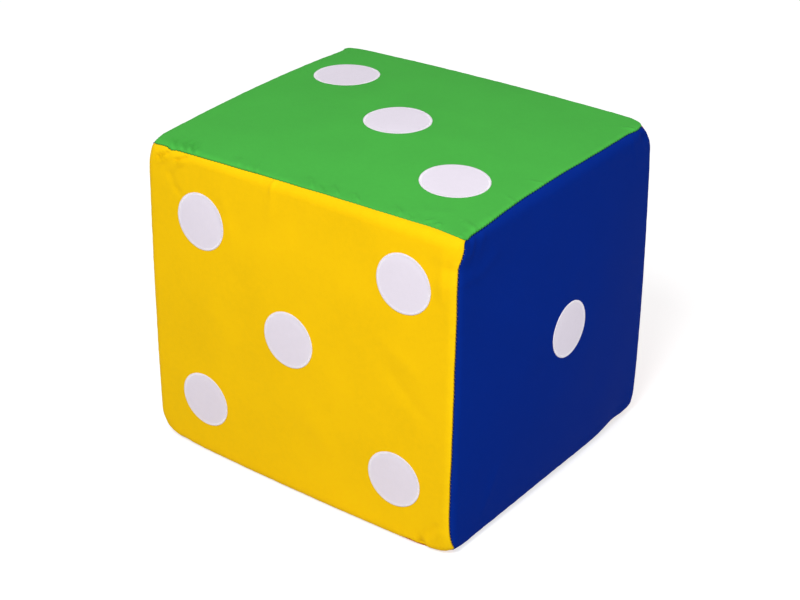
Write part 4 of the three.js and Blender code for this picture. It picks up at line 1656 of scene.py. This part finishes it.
@dataclass(frozen=True)
class Foam:
    """The foam block inside the cover."""

    edge_softness: float = 0.004
    edge_segments: int = 3
    edge_angle: float = 28.0
    merge_distance: float = 0.00002
    fineness: int = 2
    clearance: float = 0.0014
    gauge_step: float = 0.005
    zip_margin: float = 0.0016
    zip_gap: float = 0.0005

    def build(self, cover: Cover) -> None:
        """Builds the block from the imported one, softened, and pressed into shape by its cover."""
        piece = add_object("foam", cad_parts["foam_block"].data.copy())
        choose(piece)
        with editing():
            bpy.ops.mesh.remove_doubles(threshold=self.merge_distance)
        add_bevel(piece, self.edge_softness, self.edge_segments, self.edge_angle)
        finer = piece.modifiers.new("finer", "SUBSURF")
        finer.subdivision_type = "SIMPLE"
        finer.levels = finer.render_levels = self.fineness
        apply_modifiers(piece)
        self.press(piece, cover)
        shade_smooth(piece.data)
        dress(piece, FOAM)
        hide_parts("foam_block")
        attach(piece, "die")

    def press(self, piece: Piece, cover: Cover) -> None:
        """Moves the block's points with the cover, and in wherever the cover would touch them."""
        points = BLOCK.draw(points_of(piece))
        gauge = self.gauge(cover)
        pressed = 0
        for number, point in enumerate(points):
            found, normal, _, _ = gauge.find_nearest(Vector(point))
            depth = (found - Vector(point)).dot(normal)
            if depth < self.clearance:
                points[number] = point - np.array(normal) * (self.clearance - depth)
                pressed += 1
        LOG.info("the cover presses %d of the foam's %d points", pressed, len(points))
        self.clear_zip(points)
        piece.data.vertices.foreach_set("co", points.ravel())
        piece.data.update()

    def clear_zip(self, points: Grid) -> None:
        """Keeps the block's channels deep enough for the tapes and for the slider's whole run."""
        off_x = np.abs(points[:, 0]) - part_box("zip_tape_upper")[1].x
        for node in ("zip_tape_upper", "zip_tape_lower", "zip_slider"):
            low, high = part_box(node)
            off_z = np.abs(points[:, 2] - (low.z + high.z) / 2) - (high.z - low.z) / 2
            under = np.maximum(off_x, off_z) < self.zip_margin
            deep = np.minimum(points[:, 1], low.y - self.zip_gap)
            points[:, 1] = np.where(under, deep, points[:, 1])

    def gauge(self, cover: Cover) -> BVHTree:
        """The cover's outside as one coarse surface to measure from."""
        points, faces = [], []
        start = 0
        for panel in cover.panels.values():
            x, y = (np.linspace(-half, half, int(round(2 * half / self.gauge_step)) + 1)
                    for half in panel.half)
            across, up = np.meshgrid(x, y)
            points.append(panel.place(across.ravel(), up.ravel()))
            faces.append(grid_faces(start + np.arange(across.size).reshape(across.shape)))
            start += across.size
        return BVHTree.FromPolygons(np.concatenate(points).tolist(),
                                    np.concatenate(faces).tolist())


def boxed(low: Sequence[float], high: Sequence[float]) -> Piece:
    """Adds a block that fills a box, as the start of a piece."""
    low, high = Vector(low), Vector(high)
    bpy.ops.object.select_all(action="DESELECT")
    bpy.ops.mesh.primitive_cube_add(size=1.0, location=(low + high) / 2)
    with editing():
        bpy.ops.transform.resize(value=tuple(high - low))
    bpy.ops.object.transform_apply(location=True, rotation=True, scale=True)
    return bpy.context.object


def round_edges(piece: Piece, direction: Grid, where: Grid, width: float,
                segments: int) -> None:
    """Bevels the edges that run along a direction, on the side that another one names.

    Args:
        piece: The piece to shape.
        direction: The direction of the edges.
        where: The side on which they lie, or NOWHERE for all of them.
        width: The bevel's width.
        segments: The number of faces over each bevel.
    """
    choose(piece)
    middle = Vector(points_of(piece).mean(axis=0))
    with editing("DESELECT"):
        bpy.ops.mesh.select_mode(type="EDGE")
        mesh = bmesh.from_edit_mesh(piece.data)
        for edge in mesh.edges:
            low, high = (vertex.co for vertex in edge.verts)
            side = ((low + high) / 2 - middle).dot(Vector(where))
            along = abs((high - low).normalized().dot(Vector(direction))) > 0.999
            if along and (side > 0 or not where.any()):
                edge.select_set(True)
        bmesh.update_edit_mesh(piece.data)
        bpy.ops.mesh.bevel(offset=width, offset_type="OFFSET", segments=segments,
                           affect="EDGES")


def fuse(piece: Piece, tool: Piece, operation: str) -> None:
    """Joins a tool to a piece, or cuts it out, and removes the tool."""
    boolean = piece.modifiers.new("fuse", "BOOLEAN")
    boolean.operation = operation
    boolean.object = tool
    boolean.solver = "EXACT"
    apply_modifiers(piece)
    bpy.data.objects.remove(tool)


def soften(piece: Piece, width: float) -> None:
    """Breaks a rigid piece's sharp edges, and shades it smooth between them."""
    sharp = 35.0
    add_bevel(piece, width, 2, sharp)
    apply_modifiers(piece)
    with editing():
        bpy.ops.mesh.remove_doubles(threshold=0.000002)
        bpy.ops.mesh.normals_make_consistent(inside=False)
    bpy.ops.object.shade_smooth_by_angle(angle=math.radians(sharp))


@dataclass(frozen=True)
class SliderSizes:
    """The slider's sizes beyond its packed box."""

    plate: float = 0.0009
    plate_corner: float = 0.0014
    taper: float = 0.72
    post: float = 0.0007
    post_length: float = 0.003
    wall: float = 0.001
    wall_inset: float = 0.00012
    wall_end: float = 0.0016
    tape_room: float = 0.0003
    bail: float = 0.0009
    bail_span: float = 0.0064
    bail_width: float = 0.0016
    bail_height: float = 0.0038
    bail_corner: float = 0.0011
    edge: float = 0.00012


@dataclass(frozen=True)
class TabSizes:
    """The pull tab's sizes beyond its packed box."""

    arm: float = 0.0016
    window: float = 0.0054
    window_corner: float = 0.0005
    recess: float = 0.0002
    grip_corner: float = 0.0006
    end_flat: float = 0.0001
    edge: float = 0.00012


@dataclass(frozen=True)
class StopSizes:
    """The sizes of a zip's stop beyond its packed box."""

    corner: float = 0.0005
    groove_width: float = 0.0004
    groove_depth: float = 0.00015
    edge: float = 0.00008


@dataclass
class Zip:
    """The coil zip across the back: tapes, coils, stops, slider and pull tab."""

    coil_pitch: float = 0.0015
    filament: float = 0.00033
    coil_slant: float = 0.24
    tape_cells: tuple[int, int] = (10, 220)
    tape_relief: float = 0.00012
    tape_ripple: float = 0.00005
    tape_slack: float = 0.00018
    ripple_length: float = 0.009
    stitch_in: float = 0.0022
    hem_stitch: Triple = (0.0024, 0.0002, 0.00015)
    hem_pitch: float = 0.003
    hem_rise: float = 0.00008
    past: float = 0.001

    def build(self, cover: Cover) -> None:
        """Builds all of the zip's pieces."""
        for half in ("upper", "lower"):
            self.build_tape(half)
            self.build_coil(half)
        self.build_stops()
        self.build_slider()
        self.build_tab()
        self.sew_hem(cover)

    def build_tape(self, half: str) -> None:
        """A woven tape with a corded inner edge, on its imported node's place."""
        node = "zip_tape_" + half
        low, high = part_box(node)
        rows, columns = self.tape_cells
        across = np.linspace(low.x, high.x, columns + 1)
        up = np.linspace(low.z, high.z, rows + 1)
        grid_x, grid_z = np.meshgrid(across, up)
        share = (grid_z - low.z) / (high.z - low.z)
        inner = share if half == "lower" else 1 - share
        cord = self.tape_relief * np.exp(-(((inner - 0.93) / 0.06) ** 2))
        wave = np.cos(grid_x * TURN / self.ripple_length) * np.sin(share * math.pi)
        y = high.y - self.tape_relief + cord + self.tape_ripple * wave
        points = np.stack([grid_x.ravel(), y.ravel(), grid_z.ravel()], axis=1)
        faces = grid_faces(np.arange(len(points)).reshape(grid_x.shape))[:, [0, 3, 2, 1]]
        tape = new_piece(node + "_woven", points, faces)
        set_uv(tape, points[:, 0], points[:, 2])
        set_attribute(tape, "seam_distance", np.full(len(points), 0.05))
        thicken(tape, high.y - low.y - self.tape_slack)
        dress(tape, ZIP_CLOTH)
        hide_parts(node)
        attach(tape, "die")

    def build_coil(self, half: str) -> None:
        """A row of slanting loops of filament, one coil of the zip."""
        node = "zip_coil_" + half
        low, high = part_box(node)
        size = high - low
        bpy.ops.object.select_all(action="DESELECT")
        bpy.ops.mesh.primitive_torus_add(
            major_segments=14, minor_segments=6, major_radius=size.z / 2 - self.filament,
            minor_radius=self.filament, rotation=(0, math.pi / 2, 0),
        )
        bpy.ops.object.transform_apply(location=True, rotation=True, scale=True)
        with editing():
            flat = (size.y / 2 - self.filament) / (size.z / 2 - self.filament)
            bpy.ops.transform.resize(value=(1.0, flat, 1.0))
            slant = self.coil_slant if half == "upper" else -self.coil_slant
            bpy.ops.transform.rotate(value=slant, orient_axis="Y", center_override=(0, 0, 0))
            bpy.ops.mesh.normals_make_consistent(inside=False)
        points, base = take_apart(bpy.context.object)
        points[:, 1] = np.clip(points[:, 1], -size.y / 2, size.y / 2)
        first = low.x + self.coil_pitch * (0.5 if half == "upper" else 1.0)
        places = np.arange(first, high.x - self.coil_pitch / 2, self.coil_pitch)
        middle = (low + high) / 2
        moved = [points + np.array([x, middle.y, middle.z]) for x in places]
        faces = copied_faces(base, len(points), len(places))
        coil = new_piece(node + "_loops", np.concatenate(moved), faces)
        dress(coil, COIL_NYLON)
        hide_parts(node)
        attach(coil, "die")

    def build_stops(self) -> None:
        """The three stops: small clamped staples with a groove pressed across them."""
        sizes = StopSizes()
        for node in ("zip_bottom_stop", "zip_top_stop_upper", "zip_top_stop_lower"):
            low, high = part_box(node)
            stop = boxed(low, high)
            stop.name = node + "_clamp"
            round_edges(stop, Z, Y, sizes.corner, 3)
            middle, aside = (low.x + high.x) / 2, sizes.groove_width / 2
            groove = boxed((middle - aside, high.y - sizes.groove_depth, low.z - self.past),
                           (middle + aside, high.y + self.past, high.z + self.past))
            fuse(stop, groove, "DIFFERENCE")
            soften(stop, sizes.edge)
            dress(stop, NICKEL)
            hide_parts(node)
            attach(stop, "die")

    def build_slider(self) -> None:
        """The slider: two plates joined by a post, side walls, and a bail over the top."""
        sizes = SliderSizes()
        low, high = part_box("zip_slider")
        middle = (low + high) / 2
        top = high.y - sizes.bail_height
        inside = top - sizes.plate / 2
        half_post = sizes.post_length / 2
        slider = boxed((low.x, top - sizes.plate, low.z), (high.x, top, high.z))
        lower = boxed(low, (high.x, low.y + sizes.plate, high.z))
        for part in (lower, slider):
            self.taper(part, low.x, middle.z, sizes.taper)
            round_edges(part, Y, NOWHERE, sizes.plate_corner, 4)
        fuse(slider, lower, "UNION")
        post = boxed(
            (middle.x - half_post, low.y + sizes.plate / 2, middle.z - sizes.post / 2),
            (middle.x + half_post, inside, middle.z + sizes.post / 2),
        )
        fuse(slider, post, "UNION")
        wall_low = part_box("zip_tape_upper")[1].y + sizes.tape_room
        for sign in (-1, 1):
            z_low, z_high = sorted(middle.z + sign * (high.z - middle.z - inset)
                                   for inset in (sizes.wall_inset, sizes.wall))
            wall = boxed((middle.x - half_post, wall_low, z_low),
                         (high.x - sizes.wall_end, inside, z_high))
            fuse(slider, wall, "UNION")
        span, width = sizes.bail_span / 2, sizes.bail_width / 2
        arch = boxed((middle.x - span, inside, middle.z - width),
                     (middle.x + span, high.y, middle.z + width))
        round_edges(arch, Z, Y, sizes.bail_corner, 4)
        hole = boxed(
            (middle.x - span + sizes.bail, inside - self.past, middle.z - 2 * width),
            (middle.x + span - sizes.bail, high.y - sizes.bail, middle.z + 2 * width),
        )
        fuse(arch, hole, "DIFFERENCE")
        fuse(slider, arch, "UNION")
        slider.name = "zip_slider_body"
        soften(slider, sizes.edge)
        dress(slider, NICKEL)
        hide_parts("zip_slider")
        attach(slider, "slider")

    def taper(self, plate: Piece, end: float, middle: float, share: float) -> None:
        """Narrows a plate towards one end, as a slider narrows to its tail."""
        choose(plate)
        with editing("DESELECT"):
            bpy.ops.mesh.select_mode(type="VERT")
            mesh = bmesh.from_edit_mesh(plate.data)
            for vertex in mesh.verts:
                vertex.select_set(abs(vertex.co.x - end) < 0.0001)
            mesh.select_flush(True)
            bmesh.update_edit_mesh(plate.data)
            bpy.ops.transform.resize(value=(1.0, 1.0, share), center_override=(end, 0.0, middle))

    def build_tab(self) -> None:
        """The pull tab: a flat plate with a rounded end, a window and a recessed grip."""
        sizes = TabSizes()
        low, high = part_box("zip_pull_tab")
        bar, half_arm = high.y - low.y, sizes.arm / 2
        round_end = (high.z - low.z) / 2 - sizes.end_flat
        tab = boxed(low, high)
        round_edges(tab, Y, X, round_end, 8)
        window_end = low.x + bar + sizes.window
        window = boxed((low.x + bar, low.y - bar, low.z + sizes.arm),
                       (window_end, high.y + bar, high.z - sizes.arm))
        round_edges(window, Y, NOWHERE, sizes.window_corner, 3)
        fuse(tab, window, "DIFFERENCE")
        for face_y, sign in ((high.y, 1.0), (low.y, -1.0)):
            y_low, y_high = sorted((face_y - sign * sizes.recess, face_y + sign * bar))
            grip = boxed((window_end + sizes.arm, y_low, low.z + half_arm),
                         (high.x - half_arm, y_high, high.z - half_arm))
            round_edges(grip, Y, X, round_end - half_arm, 8)
            round_edges(grip, Y, -X, sizes.grip_corner, 3)
            fuse(tab, grip, "DIFFERENCE")
        tab.name = "zip_pull"
        soften(tab, sizes.edge)
        dress(tab, NICKEL)
        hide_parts("zip_pull_tab")
        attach(tab, "pull_tab")

    def sew_hem(self, cover: Cover) -> None:
        """The row of stitches that holds the cover's turned edge to the tapes."""
        panel = cover.panels[Side.BACK]
        half_length, low, high = panel.slot
        stitch = ThreadStitch(*self.hem_stitch)
        reach = half_length + self.stitch_in
        level_low, level_high = low - self.stitch_in, high + self.stitch_in
        long_run = np.arange(-reach, reach, self.hem_pitch) + self.hem_pitch / 2
        short_run = np.arange(level_low, level_high, self.hem_pitch) + self.hem_pitch / 2
        across = np.concatenate([long_run, long_run, np.full_like(short_run, -reach),
                                 np.full_like(short_run, reach)])
        up = np.concatenate([np.full_like(long_run, level_low),
                             np.full_like(long_run, level_high), short_run, short_run])
        upright = np.repeat([0.0, 1.0], [2 * len(long_run), 2 * len(short_run)])
        along, outward = panel.frame_at(across, up, upright * math.pi / 2)
        places = panel.place(across, up, self.hem_rise)
        piece = stitch.copies("zip_hem_stitches", places, along, outward)
        dress(piece, LOOKS[Side.BACK][1])
        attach(piece, "die")


@dataclass(frozen=True)
class Studio:
    """The plain pale room: camera, lamps, world and floor."""

    azimuth: float = 36.48
    elevation: float = 28.30
    roll: float = 0.42
    distance: float = 1.554
    focal_pixels: float = 1883.4
    centre_pixel: tuple[float, float] = (400.95, 281.70)
    picture: tuple[int, int] = (800, 600)
    sensor: float = 36.0
    world_strength: float = 0.446
    lamps: tuple[tuple[str, Triple, float, float], ...] = (
        ("key lamp", (0.44, -1.364, 1.807), 0.7, 27.9),
        ("fill lamp", (2.2, -0.2, 0.8), 1.0, 10.8),
    )
    floor_radius: float = 6.0
    floor_glow: float = 0.64

    def build(self) -> None:
        """Builds the whole studio."""
        self.build_camera()
        self.build_world()
        self.build_lamps()
        self.build_floor()
        bpy.context.scene.view_settings.view_transform = "Standard"

    def build_camera(self) -> None:
        """The camera at the photograph's viewing angle, on the block's middle."""
        azimuth, elevation, roll = (math.radians(angle) for angle in
                                    (self.azimuth, self.elevation, self.roll))
        back = Vector((math.sin(azimuth) * math.cos(elevation),
                       -math.cos(azimuth) * math.cos(elevation), math.sin(elevation)))
        level = Vector((math.cos(azimuth), math.sin(azimuth), 0.0))
        upright = back.cross(level)
        right = level * math.cos(roll) + upright * math.sin(roll)
        up = upright * math.cos(roll) - level * math.sin(roll)
        aside = (self.centre_pixel[0] - self.picture[0] / 2) / self.focal_pixels * self.distance
        above = (self.picture[1] / 2 - self.centre_pixel[1]) / self.focal_pixels * self.distance
        place = Vector(BLOCK.middle) - aside * right - above * up + self.distance * back
        data = bpy.data.cameras.new("camera")
        data.sensor_width = self.sensor
        data.lens = self.focal_pixels / self.picture[0] * self.sensor
        data.clip_end = 20.0
        camera = add_object("camera", data)
        turn = Matrix((right, up, back)).transposed().to_4x4()
        camera.matrix_world = Matrix.Translation(place) @ turn
        bpy.context.scene.camera = camera

    def build_world(self) -> None:
        """An even pale surround, plain white where the camera sees it."""
        world = bpy.data.worlds.new("studio")
        world.use_nodes = True
        wiring = Wiring(world.node_tree)
        white = (1.0, 1.0, 1.0, 1.0)
        soft, seen = world.node_tree.nodes["Background"], wiring.add("ShaderNodeBackground")
        wiring.give(soft, {"Color": white, "Strength": self.world_strength})
        wiring.give(seen, {"Color": white, "Strength": 1.0})
        path = wiring.add("ShaderNodeLightPath")
        mix = wiring.add("ShaderNodeMixShader")
        sources = (path.outputs["Is Camera Ray"], soft.outputs[0], seen.outputs[0])
        for source, target in zip(sources, mix.inputs):
            wiring.join(source, target)
        wiring.join(mix.outputs[0], world.node_tree.nodes["World Output"].inputs["Surface"])
        bpy.context.scene.world = world

    def build_lamps(self) -> None:
        """A lamp high in front, near the camera, and a weaker one on the right."""
        for name, place, size, power in self.lamps:
            data = bpy.data.lights.new(name, "AREA")
            data.shape = "DISK"
            data.size = size
            data.energy = power
            lamp = add_object(name, data)
            lamp.location = place
            aim = Vector(BLOCK.middle) - Vector(place)
            lamp.rotation_euler = aim.to_track_quat("-Z", "Y").to_euler()

    def build_floor(self) -> None:
        """A wide pale floor that shows as white, with the object's own shadow kept."""
        bpy.ops.object.select_all(action="DESELECT")
        bpy.ops.mesh.primitive_circle_add(vertices=96, radius=self.floor_radius, fill_type="NGON")
        floor = bpy.context.object
        floor.name = "floor"
        material, wiring, shader = new_material("pale floor")
        wiring.give(shader, {"Base Color": (0.6, 0.6, 0.6, 1.0), "Roughness": 0.9,
                             "Specular IOR Level": 0.1})
        path = wiring.add("ShaderNodeLightPath")
        seen = wiring.math("MAXIMUM", path.outputs["Is Camera Ray"], path.outputs["Is Glossy Ray"])
        glow = wiring.add("ShaderNodeEmission")
        wiring.give(glow, {"Color": wiring.blend(seen, (0.0, 0.0, 0.0), (1.0, 1.0, 1.0)),
                           "Strength": self.floor_glow})
        both = wiring.add("ShaderNodeAddShader")
        wiring.join(shader.outputs[0], both.inputs[0])
        wiring.join(glow.outputs[0], both.inputs[1])
        output = material.node_tree.nodes["Material Output"]
        wiring.join(both.outputs[0], output.inputs["Surface"])
        floor.data.materials.append(material)


def main() -> None:
    """Builds the studio and the die's parts in order."""
    logging.basicConfig(level=logging.INFO, format="%(name)s: %(message)s")
    Studio().build()
    cover = Cover()
    Foam().build(cover)
    cover.build()
    Zip().build(cover)


if __name__ == "__main__":
    main()
